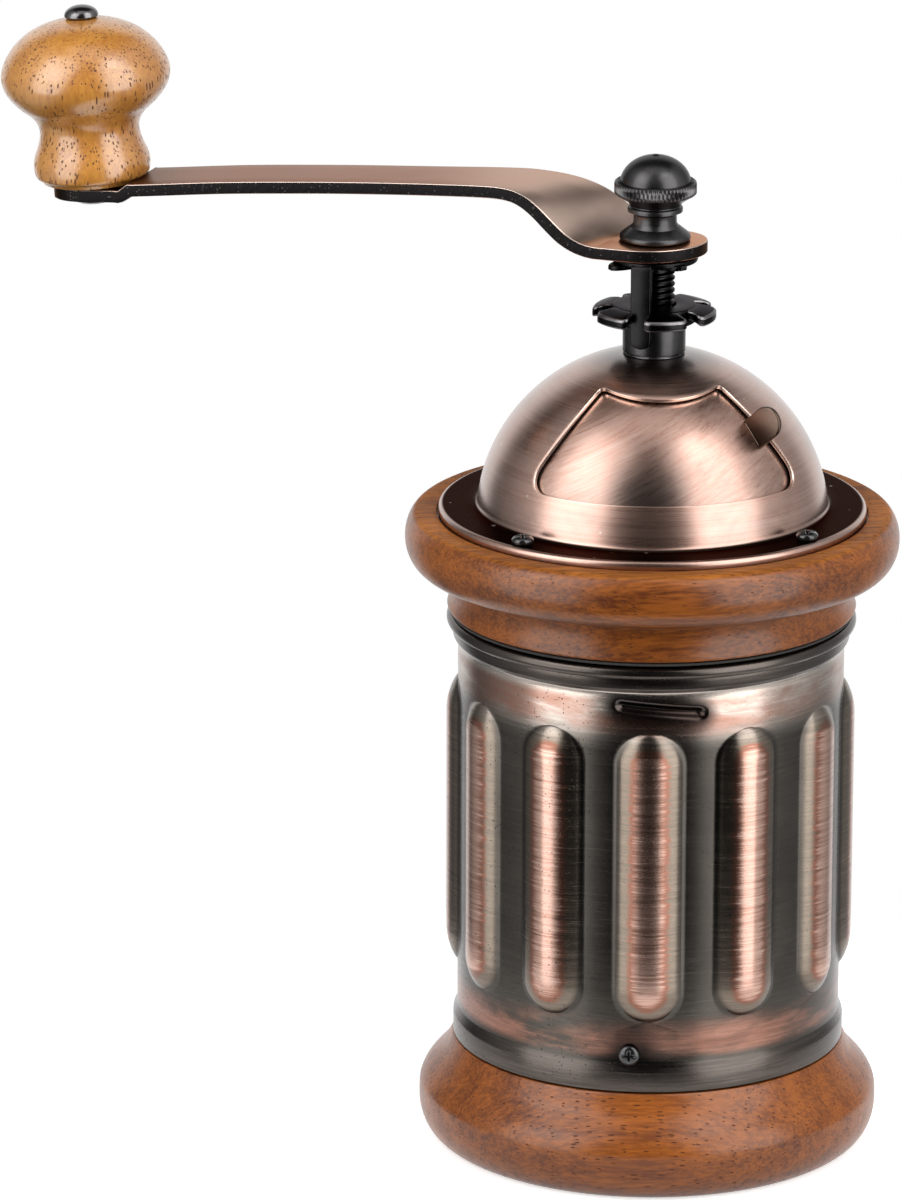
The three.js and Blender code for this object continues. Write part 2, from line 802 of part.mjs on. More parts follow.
// Half the width of the filling opening at an angle down from the crown, with rounded corners
function openingHalf_deg(polar_deg) {
  const height_deg = openingBottomPolar_deg - openingTopPolar_deg;
  const share = (polar_deg - openingTopPolar_deg) / height_deg;
  const flare = Math.max(share, 0) ** openingFlarePower;
  const half_deg = THREE.MathUtils.lerp(openingTopHalf_deg, openingBottomHalf_deg, flare);
  const fromTop = (polar_deg - openingTopPolar_deg) * degree * domeRadius;
  const fromBottom = (openingBottomPolar_deg - polar_deg) * degree * domeRadius;
  const inset = cornerInset(fromTop, openingTopRound) + cornerInset(fromBottom, openingBottomRound);
  return half_deg - inset / (domeRadius * Math.sin(polar_deg * degree)) / degree;
}

// The cut for the filling opening, with its rows closer together at the rounded corners
function openingCut() {
  const inner = domeInnerRadius - doorGap;
  const outer = domeRadius + cutOverrun;
  return solid(
    domePatch(inner, outer, openingColumns, openingRows, (across, down) => {
      const eased = halfShare - halfShare * Math.cos(down * halfTurn);
      const polar_deg = THREE.MathUtils.lerp(openingTopPolar_deg, openingBottomPolar_deg, eased);
      const half_deg = openingHalf_deg(polar_deg);
      const dip_deg = openingTopDip_deg * Math.sin(across * halfTurn) * (1 - eased);
      return [openingAzimuth_deg + THREE.MathUtils.lerp(-half_deg, half_deg, across), polar_deg + dip_deg];
    }),
  );
}

// Points of a dome profile at a radius, from one angle down from the crown to another
function domeArc(radius, from_deg, to_deg) {
  return arc([0, domeCentreZ], [radius, radius], quarterTurn_deg - from_deg, quarterTurn_deg - to_deg, domeSteps);
}

// Angle down from the crown where a sphere of a radius reaches a height or a plan radius
function polarAtHeight_deg(radius, z) {
  return Math.acos((z - domeCentreZ) / radius) / degree;
}

function polarAtPlan_deg(radius, out) {
  return Math.asin(out / radius) / degree;
}

function domeCover() {
  const footZ = flangeTopZ + domeFootRound;
  const footRadius = Math.sqrt(domeRadius ** 2 - (footZ - domeCentreZ) ** 2);
  const crownUnderZ = crownZ - domeWall;
  const crownEdge_deg = polarAtPlan_deg(domeRadius, domeCrownFlatRadius);
  const profile = [
    [domeHoleRadius, crownUnderZ],
    [domeHoleRadius, crownZ],
    ...domeArc(domeRadius, crownEdge_deg, polarAtHeight_deg(domeRadius, footZ)),
    [footRadius + domeFootRound * (1 - Math.SQRT1_2), flangeTopZ + domeFootRound * (1 - Math.SQRT1_2)],
    [footRadius + domeFootRound, flangeTopZ],
    ...arc(
      [flangeRadius - flangeEdgeRound, flangeTopZ - flangeEdgeRound],
      [flangeEdgeRound, flangeEdgeRound],
      quarterTurn_deg,
      0,
      edgeSteps,
    ),
    [flangeRadius, bandZ + seatGap],
    [flangeRadius - domeWall, bandZ + seatGap],
    [flangeRadius - domeWall, flangeUnderZ],
    ...domeArc(
      domeInnerRadius,
      polarAtHeight_deg(domeInnerRadius, flangeUnderZ),
      polarAtHeight_deg(domeInnerRadius, crownUnderZ),
    ),
  ];
  const body = solid(turned(profile, largeFacets));
  const holes = domeScrewHoles(flangeUnderZ - cutOverrun, flangeTopZ + cutOverrun);
  return cutAll(body, [openingCut(), ...holes]);
}

// The part of the door shell that is cut away, everything outside the leaf and its hanging ring
function doorWaste() {
  const left_deg = openingAzimuth_deg - openingBottomHalf_deg - doorOverlap_deg;
  const right_deg = openingAzimuth_deg + openingBottomHalf_deg + doorOverlap_deg;
  const inner = doorInnerRadius - cutOverrun;
  const outer = doorOuterRadius + cutOverrun;
  return solid(
    domePatch(inner, outer, doorWasteColumns, doorWasteRows, (across, down) => [
      THREE.MathUtils.lerp(right_deg, left_deg + fullTurn_deg, across),
      THREE.MathUtils.lerp(doorRingPolar_deg, openingBottomPolar_deg + doorRingPolar_deg, down),
    ]),
  );
}

// The finger tab: a plate with a round end that stands straight out of the door through the opening
function doorTab() {
  const half = doorTabWidth * halfShare;
  const straight = doorOuterRadius + doorTabReach - half;
  const shape = new THREE.Shape();
  shape.moveTo(-half, doorOuterRadius - doorWall * halfShare);
  shape.lineTo(half, doorOuterRadius - doorWall * halfShare);
  shape.lineTo(half, straight);
  shape.absarc(0, straight, half, 0, halfTurn, false);
  const settings = { depth: doorTabThickness, bevelEnabled: false, curveSegments: roundSteps };
  const plate = new THREE.ExtrudeGeometry(shape, settings);
  plate.translate(0, 0, -doorTabThickness * halfShare);
  plate.rotateX(quarterTurn).rotateZ(-quarterTurn).rotateX(doorTabPolar_deg * degree);
  toAzimuth(plate, doorTabAzimuth_deg);
  return solid(plate.translate(0, 0, domeCentreZ));
}

function hopperDoor() {
  const foot_deg = openingBottomPolar_deg + doorOverlap_deg;
  const profile = [
    ...domeArc(doorOuterRadius, polarAtPlan_deg(doorOuterRadius, doorRingBore), foot_deg),
    ...domeArc(doorInnerRadius, foot_deg, polarAtPlan_deg(doorInnerRadius, doorRingBore)),
  ];
  return solid(turned(profile, largeFacets)).subtract(doorWaste()).add(doorTab());
}

// Flanged bush through the crown of the dome
function shaftBush() {
  const profile = [
    [bushInnerRadius, bushFlangeZ - bushFlangeThickness],
    [bushFlangeRadius, bushFlangeZ - bushFlangeThickness],
    [bushFlangeRadius, bushFlangeZ],
    [bushShoulderRadius, bushFlangeZ],
    [bushShoulderRadius, crownZ - domeWall - seatGap],
    [bushRadius, crownZ - domeWall - seatGap],
    [bushRadius, bearingTopZ],
    [bushInnerRadius, bearingTopZ],
  ];
  return solid(turned(profile, mediumFacets));
}

function bearingNut() {
  return solid(ring(bushRadius + seatGap, bearingNutRadius, bearingNutZ, bearingTopZ, mediumFacets));
}

function hopperBowl() {
  const lower = bowlLine(0, 0);
  const upper = bowlLine(bowlWallInward, bowlWallRise).reverse();
  const profile = [[bowlRimRadius, bowlRimZ], ...lower, ...upper, [bowlRimRadius, bowlRimZ + bowlWallRise]];
  return solid(turned(profile, largeFacets));
}

// Depth of a burr tooth at an azimuth and at a share of the burr's height
function toothCut(azimuth_deg, share) {
  const turn = (azimuth_deg + share * burrToothTwist_deg) / (fullTurn_deg / burrToothCount);
  return burrToothDepth * (turn - Math.floor(turn));
}

// Presses teeth into the surface of a burr that lies beyond a radius, inwards or outwards
function cutTeeth(geometry, low, high, reaches, direction) {
  return reshape(geometry, (point) => {
    const radius = Math.hypot(point.x, point.y);
    if (!reaches(radius, point.z)) return point;
    const azimuth_deg = Math.atan2(point.x, -point.y) / degree;
    const share = 1 + (direction * toothCut(azimuth_deg, (point.z - low) / (high - low))) / radius;
    return new THREE.Vector3(point.x * share, point.y * share, point.z);
  });
}

// A straight side of a burr in several rows, from one [radius, height] to another
function burrSide(from, to) {
  const points = [];
  for (let i = 0; i <= burrLevels; i += 1) {
    const share = i / burrLevels;
    points.push([
      THREE.MathUtils.lerp(from[0], to[0], share),
      THREE.MathUtils.lerp(from[1], to[1], share),
    ]);
  }
  return points;
}

function outerBurr() {
  const profile = [
    ...burrSide([outerBurrTopRadius, burrTopZ], [outerBurrBottomRadius, burrFootZ]),
    [outerBurrBodyRadius, burrFootZ],
    [outerBurrBodyRadius, burrFlangeUnderZ],
    [outerBurrFlangeRadius, burrFlangeUnderZ],
    [outerBurrFlangeRadius, burrTopZ],
  ];
  const inside = (outerBurrBottomRadius + outerBurrBodyRadius) * halfShare;
  const geometry = turned(profile, largeFacets);
  const toothed = cutTeeth(geometry, burrFootZ, burrTopZ, (radius) => radius < inside, 1);
  return cutAll(solid(toothed), burrScrewHoles(burrFlangeUnderZ - cutOverrun, burrTopZ + cutOverrun));
}

function innerBurr() {
  const bore = shaftRadius + holeGap;
  const profile = [
    [bore, innerBurrFootZ],
    ...burrSide([innerBurrBottomRadius, innerBurrFootZ], [innerBurrTopRadius, innerBurrTopZ]),
    [bore, innerBurrTopZ],
  ];
  const outside = (bore + innerBurrTopRadius) * halfShare;
  const geometry = turned(profile, largeFacets);
  const reaches = (radius) => radius > outside;
  return solid(cutTeeth(geometry, innerBurrFootZ, innerBurrTopZ, reaches, -1));
}

// Bridge under the burrs: a hub with three straps that rise to the flange of the outer burr
function burrBridge() {
  const footTop = bridgeFootZ + bridgeStrapThickness;
  const barTop = bridgeZ + bridgeHubHeight;
  const shape = new THREE.Shape();
  shape.moveTo(journalRadius + holeGap + bridgeStrapThickness, barTop - bridgeStrapThickness);
  shape.lineTo(bridgeLegOuterRadius, barTop - bridgeStrapThickness);
  shape.lineTo(bridgeLegOuterRadius, bridgeFootZ);
  shape.lineTo(outerBurrFlangeRadius, bridgeFootZ);
  shape.lineTo(outerBurrFlangeRadius, footTop);
  shape.lineTo(bridgeLegRadius, footTop);
  shape.lineTo(bridgeLegRadius, barTop);
  shape.lineTo(journalRadius + holeGap + bridgeStrapThickness, barTop);
  shape.closePath();
  const settings = { depth: bridgeStrapWidth, bevelEnabled: false };
  const straps = spread(burrScrewCount, burrScrewAzimuth_deg).map((azimuth_deg) => {
    const strap = new THREE.ExtrudeGeometry(shape, settings).translate(0, 0, -bridgeStrapWidth * halfShare);
    return solid(toAzimuth(strap.rotateX(quarterTurn), azimuth_deg - quarterTurn_deg));
  });
  const hub = solid(rod(bridgeHubRadius, bridgeZ, barTop, smallFacets));
  const joined = straps.reduce((body, strap) => body.add(strap), hub);
  const bore = solid(rod(journalRadius + holeGap, bridgeZ - cutOverrun, barTop + cutOverrun, smallFacets));
  return cutAll(joined, [bore, ...burrScrewHoles(bridgeFootZ - cutOverrun, footTop + cutOverrun)]);
}

function burrScrewZ() {
  return bridgeFootZ - seatGap;
}

// Shaft: journal, plain length with a collar over the burr, square drive and stud
function crankShaft() {
  const collarLow = innerBurrTopZ + seatGap;
  const collarHigh = collarLow + shaftCollarHeight;
  const profile = [
    [0, shaftFootZ],
    [journalRadius, shaftFootZ],
    [journalRadius, burrNutZ],
    [shaftRadius, burrNutZ],
    [shaftRadius, collarLow],
    [shaftCollarRadius, collarLow],
    [shaftCollarRadius, collarHigh],
    [shaftRadius, collarHigh],
    [shaftRadius, shaftShoulderZ],
    [0, shaftShoulderZ],
  ];
  const drive = solid(block(driveSide, driveSide, shaftShoulderZ - seatGap, armTopZ - seatGap));
  const stud = solid(rod(studRadius, shaftShoulderZ, studTopZ - seatGap, smallFacets));
  const turnedDrive = drive.rotate([0, 0, armTurn_deg]);
  return solid(turned(profile, smallFacets)).add(turnedDrive).add(stud);
}

function burrWasher() {
  const bore = shaftRadius + holeGap;
  return solid(ring(bore, burrWasherRadius, burrWasherZ, burrWasherZ + burrWasherThickness, smallFacets));
}

function burrNut() {
  const body = solid(rod(burrNutCornerRadius, burrNutZ, burrNutZ + burrNutHeight, nutSides));
  const bore = rod(shaftRadius + holeGap, burrNutZ - cutOverrun, burrWasherZ + cutOverrun, smallFacets);
  return body.subtract(solid(bore));
}

// Outline of the star nut: rounded lobes between straight notches
function starShape() {
  const pitch_deg = fullTurn_deg / starLobeCount;
  const halfNotch = notchWidth * halfShare;
  const edge = Math.sqrt((starRadius * starLobeEndShare) ** 2 - halfNotch ** 2);
  const edge_deg = Math.atan2(halfNotch, edge) / degree;
  const floor_deg = Math.atan2(halfNotch, notchFloorRadius) / degree;
  const floor = Math.hypot(notchFloorRadius, halfNotch);
  const points = [];
  for (const notch_deg of spread(starLobeCount, plateAzimuth_deg)) {
    points.push(plan(floor, notch_deg - floor_deg), plan(floor, notch_deg + floor_deg));
    for (let i = 0; i <= starLobeSteps; i += 1) {
      const share = i / starLobeSteps;
      const swell = THREE.MathUtils.lerp(starLobeEndShare, 1, Math.sin(share * halfTurn));
      const turn_deg = THREE.MathUtils.lerp(edge_deg, pitch_deg - edge_deg, share);
      points.push(plan(starRadius * swell, notch_deg + turn_deg));
    }
  }
  const shape = new THREE.Shape(points.map(([x, y]) => new THREE.Vector2(x, y)));
  shape.holes.push(new THREE.Path().absarc(0, 0, shaftRadius + holeGap, 0, fullTurn, true));
  return shape;
}

function starNut() {
  const settings = {
    depth: starThickness - starEdgeRound * 2,
    bevelThickness: starEdgeRound,
    bevelSize: starEdgeRound,
    bevelOffset: -starEdgeRound,
    bevelSegments: 1,
    curveSegments: smallFacets * halfShare,
  };
  const geometry = new THREE.ExtrudeGeometry(starShape(), settings);
  return solid(geometry.translate(0, 0, starZ + starEdgeRound));
}

// Locking plate: a washer with a square hole and one leg bent down beside the star nut
function lockPlate() {
  const top = plateZ + plateThickness;
  const legOuter = legInnerRadius + legThickness;
  const washer = solid(rod(plateRadius, plateZ, top, mediumFacets));
  const bar = block(legWidth, legOuter, plateZ, top).translate(0, -legOuter * halfShare, 0);
  const leg = block(legWidth, legThickness, top - legLength, top);
  leg.translate(0, -(legInnerRadius + legThickness * halfShare), 0);
  const hole = solid(block(driveHole, driveHole, plateZ - cutOverrun, top + cutOverrun));
  const arm = solid(toAzimuth(bar, plateAzimuth_deg)).add(solid(toAzimuth(leg, plateAzimuth_deg)));
  return washer.add(arm).subtract(hole.rotate([0, 0, armTurn_deg]));
}

// Upper line of the arm, in its own frame: X runs out along the arm and zero is its underside
function armLine() {
  const slope = Math.tan(knobTilt_deg * degree);
  const tipZ = armThickness + armTipRise;
  const tipEnd = armTipRadius + cutOverrun;
  return [
    [-armHubRadius - cutOverrun, armThickness],
    ...armLineShares.map(([out, up]) => [out * armReach, armThickness + up * armRise]),
    [armReach - armTipPadRun, tipZ + armTipPadRun * slope],
    [armReach + tipEnd, tipZ - tipEnd * slope],
  ];
}

// The same line moved square to itself by a distance
function offsetLine(line, distance) {
  return line.map((point, i) => {
    const before = line[Math.max(i - 1, 0)];
    const after = line[Math.min(i + 1, line.length - 1)];
    const inAngle = Math.atan2(point[1] - before[1], point[0] - before[0]);
    const outAngle = Math.atan2(after[1] - point[1], after[0] - point[0]);
    const first = i === 0 ? outAngle : inAngle;
    const last = i === line.length - 1 ? inAngle : outAngle;
    const middle = (first + last) * halfShare;
    const stretch = distance / Math.cos((last - first) * halfShare);
    return [point[0] + Math.sin(middle) * stretch, point[1] - Math.cos(middle) * stretch];
  });
}

// Skews the rise of the arm, whose bends don't run square across it
function skewBends(geometry) {
  const skew = Math.tan(armCreaseSkew_deg * degree);
  return reshape(geometry, (point) => {
    const left = 1 - THREE.MathUtils.smoothstep(point.x, 0, armReach * armSkewEndShare);
    return new THREE.Vector3(point.x + point.y * skew * left, point.y, point.z);
  });
}

// Plan outline of the arm
function armPlan() {
  const root = armReach * armRootShare;
  const waist = armReach * armWaistShare;
  const shape = new THREE.Shape();
  shape.absarc(0, 0, armHubRadius, quarterTurn, quarterTurn + halfTurn, false);
  shape.lineTo(root, -armRootWidth * halfShare);
  shape.lineTo(waist, -armWaistWidth * halfShare);
  shape.absarc(armReach, 0, armTipRadius, -quarterTurn, quarterTurn, false);
  shape.lineTo(waist, armWaistWidth * halfShare);
  shape.lineTo(root, armRootWidth * halfShare);
  shape.closePath();
  return shape;
}

// Crank arm: its side profile across the whole width, cut to its plan outline
function crankArm() {
  const line = armLine();
  const under = offsetLine(line, armThickness).reverse();
  const side = new THREE.Shape([...line, ...under].map(([x, z]) => new THREE.Vector2(x, z)));
  const width = Math.max(armRootWidth, armHubRadius * 2, armTipRadius * 2) + cutOverrun * 2;
  const bar = new THREE.ExtrudeGeometry(side, { depth: width, bevelEnabled: false });
  skewBends(bar.translate(0, 0, -width * halfShare).rotateX(quarterTurn));
  const height = armThickness + armRise + cutOverrun * 2;
  const settings = { depth: height, bevelEnabled: false, curveSegments: armCurveSegments };
  const sheet = new THREE.ExtrudeGeometry(armPlan(), settings);
  sheet.translate(0, 0, -cutOverrun);
  const hubHole = solid(block(driveHole, driveHole, -cutOverrun, armThickness + cutOverrun));
  const pinHole = rod(knobPinRadius + holeGap, -armThickness - cutOverrun, cutOverrun, smallFacets);
  pinHole.rotateY(knobTilt_deg * degree).translate(armReach, 0, armThickness + armTipRise);
  return cutAll(solid(bar).intersect(solid(sheet)), [hubHole, solid(pinHole)]);
}

// Turned knob, in its own frame with the arm's upper face at zero
function woodKnob() {
  const bore = knobPinRadius + runGap;
  const outline = knobOutlineShares.map(([out, up]) => [out * knobRadius, knobSeatHeight + up * knobHeight]);
  const top = knobSeatHeight + knobHeight;
  return solid(turned([[bore, knobSeatHeight], ...outline, [bore, top]], knobFacets));
}

function knobPin() {
  const top = knobSeatHeight + knobHeight + seatGap;
  const foot = -armThickness - seatGap;
  const head = round([0, top], [knobPinHeadRadius, knobPinHeadHeight], 0, quarterTurn_deg);
  head[head.length - 1][0] = 0;
  const profile = [
    [0, foot - knobPinFootHeight],
    [knobPinFootRadius - knobPinFootHeight, foot - knobPinFootHeight],
    [knobPinFootRadius, foot],
    [knobPinRadius, foot],
    [knobPinRadius, top],
    ...head,
  ];
  return solid(turned(profile, smallFacets));
}

function knobWasher() {
  const bore = knobPinRadius + holeGap;
  return solid(ring(bore, knobWasherRadius, seatGap, seatGap + knobWasherThickness, smallFacets));
}

// Cap nut, in its own frame with its seat at zero
function capNut() {
  const outline = capOutlineShares.map(([out, up]) => [out * capRimRadius, up * capHeight]);
  const body = solid(turned([[0, 0], ...outline, [0, capHeight]], mediumFacets));
  return body.subtract(solid(rod(studRadius + holeGap, -cutOverrun, capBoreDepth, smallFacets)));
}

// Finishes
function finish(color, roughness, metalness) {
  return () => new THREE.MeshStandardMaterial({ color, roughness, metalness, flatShading: true });
}

const redWood = finish("#8a5230", 0.5, 0);
const tanWood = finish("#b9793a", 0.4, 0);
const agedSteel = finish("#4b3a33", 0.38, 0.9);
const agedCopper = finish("#8d6355", 0.32, 0.95);
const armCopper = finish("#7a5648", 0.36, 0.9);
const blackSteel = finish("#232325", 0.45, 0.8);
const brightSteel = finish("#8d8f92", 0.35, 0.9);
const castIron = finish("#55555a", 0.6, 0.7);
const fibre = finish("#1d1a18", 0.9, 0);

function piece(name, made, material) {
  const mesh = new THREE.Mesh(geometryOf(made), material());
  mesh.name = name;
  return mesh;
}

// Screws round a circle with their heads up or down, numbered from one
function uprightScrews(name, made, azimuths, circleRadius, z, headUp) {
  return azimuths.map((azimuth_deg, i) => {
    const screw = piece(`${name}_${i + 1}`, made, blackSteel);
    const [x, y] = plan(circleRadius, azimuth_deg);
    screw.position.set(x, y, z);
    if (!headUp) screw.rotation.x = halfTurn;
    return screw;
  });
}

// Screws through the can wall, with their heads outwards
function canScrews() {
  const made = solid(
    screwGeometry(canScrewHeadRadius, canScrewHeadHeight, canScrewShankRadius, canScrewLength),
  );
  return spread(canScrewCount, canScrewAzimuth_deg).map((azimuth_deg, i) => {
    const turn = new THREE.Group();
    const screw = piece(`can_screw_${i + 1}`, made, blackSteel);
    screw.position.set(0, -(canRadius + seatGap), canFootZ + canScrewRise);
    screw.rotation.x = quarterTurn;
    turn.rotation.z = azimuth_deg * degree;
    turn.add(screw);
    return turn;
  });
}

function canGroup() {
  const group = new THREE.Group();
  group.add(piece("wood_base", woodBase(), redWood));
  group.add(piece("grounds_can", groundsCan(), agedSteel));
  group.add(...canScrews());
  return group;
}

function collarGroup() {
  const group = new THREE.Group();
  group.add(piece("rim_washer", rimWasher(), fibre));
  group.add(piece("wood_collar", woodCollar(), redWood));
  group.add(piece("lock_ring", lockRing(), brightSteel));
  group.add(piece("hopper_bowl", hopperBowl(), brightSteel));
  const made = solid(
    screwGeometry(lockScrewHeadRadius, lockScrewHeadHeight, lockScrewShankRadius, lockScrewLength),
  );
  const azimuths = spread(lockScrewCount, 0);
  group.add(...uprightScrews("lock_ring_screw", made, azimuths, lockScrewCircleRadius, lockScrewZ(), false));
  return group;
}

function domeGroup() {
  const group = new THREE.Group();
  group.add(piece("dome_cover", domeCover(), agedCopper));
  group.add(piece("hopper_door", hopperDoor(), agedCopper));
  group.add(piece("shaft_bush", shaftBush(), brightSteel));
  group.add(piece("bearing_nut", bearingNut(), blackSteel));
  const made = solid(
    screwGeometry(domeScrewHeadRadius, domeScrewHeadHeight, domeScrewShankRadius, domeScrewLength),
  );
  const azimuths = spread(domeScrewCount, domeScrewAzimuth_deg);
  const z = flangeTopZ + seatGap;
  group.add(...uprightScrews("dome_screw", made, azimuths, domeScrewCircleRadius, z, true));
  return group;
}

function burrGroup() {
  const group = new THREE.Group();
  group.add(piece("outer_burr", outerBurr(), castIron));
  group.add(piece("burr_bridge", burrBridge(), brightSteel));
  group.add(piece("inner_burr", innerBurr(), castIron));
  group.add(piece("burr_washer", burrWasher(), brightSteel));
  group.add(piece("burr_nut", burrNut(), brightSteel));
  const made = solid(
    screwGeometry(burrScrewHeadRadius, burrScrewHeadHeight, burrScrewShankRadius, burrScrewLength),
  );
  const azimuths = spread(burrScrewCount, burrScrewAzimuth_deg);
  group.add(...uprightScrews("burr_screw", made, azimuths, burrScrewCircleRadius, burrScrewZ(), false));
  return group;
}

function knobGroup() {
  const group = new THREE.Group();
  group.add(piece("knob_pin", knobPin(), blackSteel));
  group.add(piece("knob_washer", knobWasher(), blackSteel));
  group.add(piece("wood_knob", woodKnob(), tanWood));
  group.position.set(armReach, 0, armThickness + armTipRise);
  group.rotation.y = knobTilt_deg * degree;
  return group;
}

function armGroup() {
  const group = new THREE.Group();
  group.add(piece("crank_arm", crankArm(), armCopper));
  group.add(knobGroup());
  group.position.set(0, 0, armZ);
  group.rotation.z = armTurn_deg * degree;
  return group;
}

function driveGroup() {
  const group = new THREE.Group();
  group.add(piece("crank_shaft", crankShaft(), blackSteel));
  group.add(piece("star_nut", starNut(), blackSteel));
  group.add(piece("lock_plate", lockPlate(), blackSteel));
  const cap = piece("cap_nut", capNut(), blackSteel);
  cap.position.set(0, 0, capZ);
  group.add(cap);
  group.add(armGroup());
  return group;
}

const mill = new THREE.Group();
mill.add(canGroup(), collarGroup(), domeGroup(), burrGroup(), driveGroup());

export default mill;
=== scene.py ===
"""The looks of a hand coffee mill: turned wood, antique copper plating and blackened steel, built
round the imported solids. Profiles are in millimetres, as [radius, height], and every finished piece
is in metres in the frame of the solids."""

import math

import bmesh
import bpy
from bpy.props import FloatProperty, FloatVectorProperty, IntProperty, PointerProperty
from bpy.types import Operator, Panel, PropertyGroup
from mathutils import Matrix, Vector


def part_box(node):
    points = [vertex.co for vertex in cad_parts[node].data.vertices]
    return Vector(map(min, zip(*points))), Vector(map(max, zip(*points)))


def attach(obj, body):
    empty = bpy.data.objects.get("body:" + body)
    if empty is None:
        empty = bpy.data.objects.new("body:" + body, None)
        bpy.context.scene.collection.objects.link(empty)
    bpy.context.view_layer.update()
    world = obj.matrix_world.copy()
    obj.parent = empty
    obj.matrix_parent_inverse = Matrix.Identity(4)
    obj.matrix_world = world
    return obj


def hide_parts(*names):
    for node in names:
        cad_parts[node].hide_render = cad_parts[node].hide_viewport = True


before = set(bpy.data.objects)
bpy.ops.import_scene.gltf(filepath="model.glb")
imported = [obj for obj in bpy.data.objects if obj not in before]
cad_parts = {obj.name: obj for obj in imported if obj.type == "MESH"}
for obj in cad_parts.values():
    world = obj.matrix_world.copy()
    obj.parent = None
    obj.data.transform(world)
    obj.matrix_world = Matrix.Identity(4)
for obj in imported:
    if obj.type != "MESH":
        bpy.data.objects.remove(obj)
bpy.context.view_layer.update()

bl_info = {
    "name": "Hand coffee mill",
    "version": (1, 0, 0),
    "blender": (4, 5, 0),
    "location": "3D View > Sidebar > Mill",
    "description": "Builds the visible pieces of a hand coffee mill round its solids",
    "category": "Object",
}

MM = 0.001
# Degrees about Z: the front, and from there the notch of the star nut
FRONT, NOTCH = -90, -18.5
# Steps of the big round pieces, and of those with finer shapes
ROUND_STEPS, FINE_STEPS = 160, 240
# Height that the lamps and the camera aim at, and the picture that the camera was solved for, in pixels
AIM_HEIGHT = 0.09
PICTURE_HEIGHT, SHIFT_RIGHT, SHIFT_UP = 1200, 199.5, 100
SENSOR_WIDTH = 36


# Properties


def length(name, description, default):
    return FloatProperty(
        name=name, description=description, default=default, min=0, unit="LENGTH", precision=5
    )


def angle(name, description, degrees):
    start = math.radians(degrees)
    return FloatProperty(name=name, description=description, default=start, subtype="ANGLE")


def colour(name, description, red, green, blue):
    return FloatVectorProperty(
        name=name, description=description, default=(red, green, blue), min=0, max=1, subtype="COLOR"
    )


def share(name, description, default):
    return FloatProperty(
        name=name, description=description, default=default, min=0, max=1, subtype="FACTOR"
    )


def watts(name, description, default):
    return FloatProperty(name=name, description=description, default=default)


class MillSizes(PropertyGroup):
    """Sizes of the pieces that are turned or pressed."""

    base_foot: length("Base foot", "Radius of the flat underside of the base", 0.041)
    base_belly: length("Base belly", "Widest radius of the base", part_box("wood_base")[1].x)
    can_radius: length("Can radius", "Outer radius of the can between its ribs", 0.0384)
    can_wall: length("Can wall", "Thickness of the sheet of the can", 0.0007)
    rib_count: IntProperty(name="Ribs", description="Number of ribs round the can", default=12, min=1)
    rib_width: length("Rib width", "Width of each rib of the can", 0.0131)
    rib_height: length("Rib height", "How far each rib stands out", 0.0023)
    collar_brim: length("Collar brim", "Widest radius of the collar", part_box("wood_collar")[1].x)
    dome_radius: length("Dome radius", "Outer radius of the dome", 0.035)
    flange_radius: length("Flange radius", "Outer radius of the dome's flange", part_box("dome_cover")[1].x)
    star_radius: length("Star nut radius", "Radius over the lobes of the star nut", 0.0122)
    thread_pitch: length("Thread pitch", "Rise of the adjusting thread in each turn", 0.00125)
    arm_reach: length("Arm reach", "Distance from the shaft to the knob", 0.1186)
    arm_thickness: length("Arm thickness", "Thickness of the bar of the arm", 0.0025)
    knob_radius: length("Knob radius", "Widest radius of the knob", 0.017)
    knob_height: length("Knob height", "Height of the knob along its pin", 0.0322)
    cap_radius: length("Cap nut radius", "Radius of the knurled rim of the cap nut", 0.0081)


class MillFinishes(PropertyGroup):
    """Colours of the woods and metals."""

    base_light: colour("Base light", "Light grain of the base", 0.35, 0.1, 0.015)
    base_dark: colour("Base dark", "Dark grain of the base", 0.11, 0.026, 0.006)
    collar_light: colour("Collar light", "Light grain of the collar", 0.33, 0.096, 0.015)
    collar_dark: colour("Collar dark", "Dark grain of the collar", 0.09, 0.022, 0.005)
    knob_light: colour("Knob light", "Light grain of the knob", 0.6, 0.265, 0.048)
    knob_dark: colour("Knob dark", "Dark grain of the knob", 0.38, 0.13, 0.021)
    pore: colour("Pores", "Open pores of the woods", 0.055, 0.014, 0.004)
    copper: colour("Copper", "Rubbed copper plating", 0.36, 0.175, 0.122)
    pale_copper: colour("Pale copper", "Copper plating where it is brushed bright", 0.5, 0.33, 0.265)
    patina: colour("Patina", "Smoky patina over the copper", 0.034, 0.029, 0.025)
    olive: colour("Olive bronze", "Bronzed plating where it is brushed thin", 0.085, 0.077, 0.066)
    oxide: colour("Black oxide", "Blackened steel", 0.035, 0.033, 0.034)
    steel: colour("Steel", "Plain pressed steel", 0.55, 0.56, 0.57)
    iron: colour("Iron", "Cast burrs", 0.2, 0.2, 0.21)
    fibre: colour("Fibre", "Washer under the collar", 0.02, 0.018, 0.016)


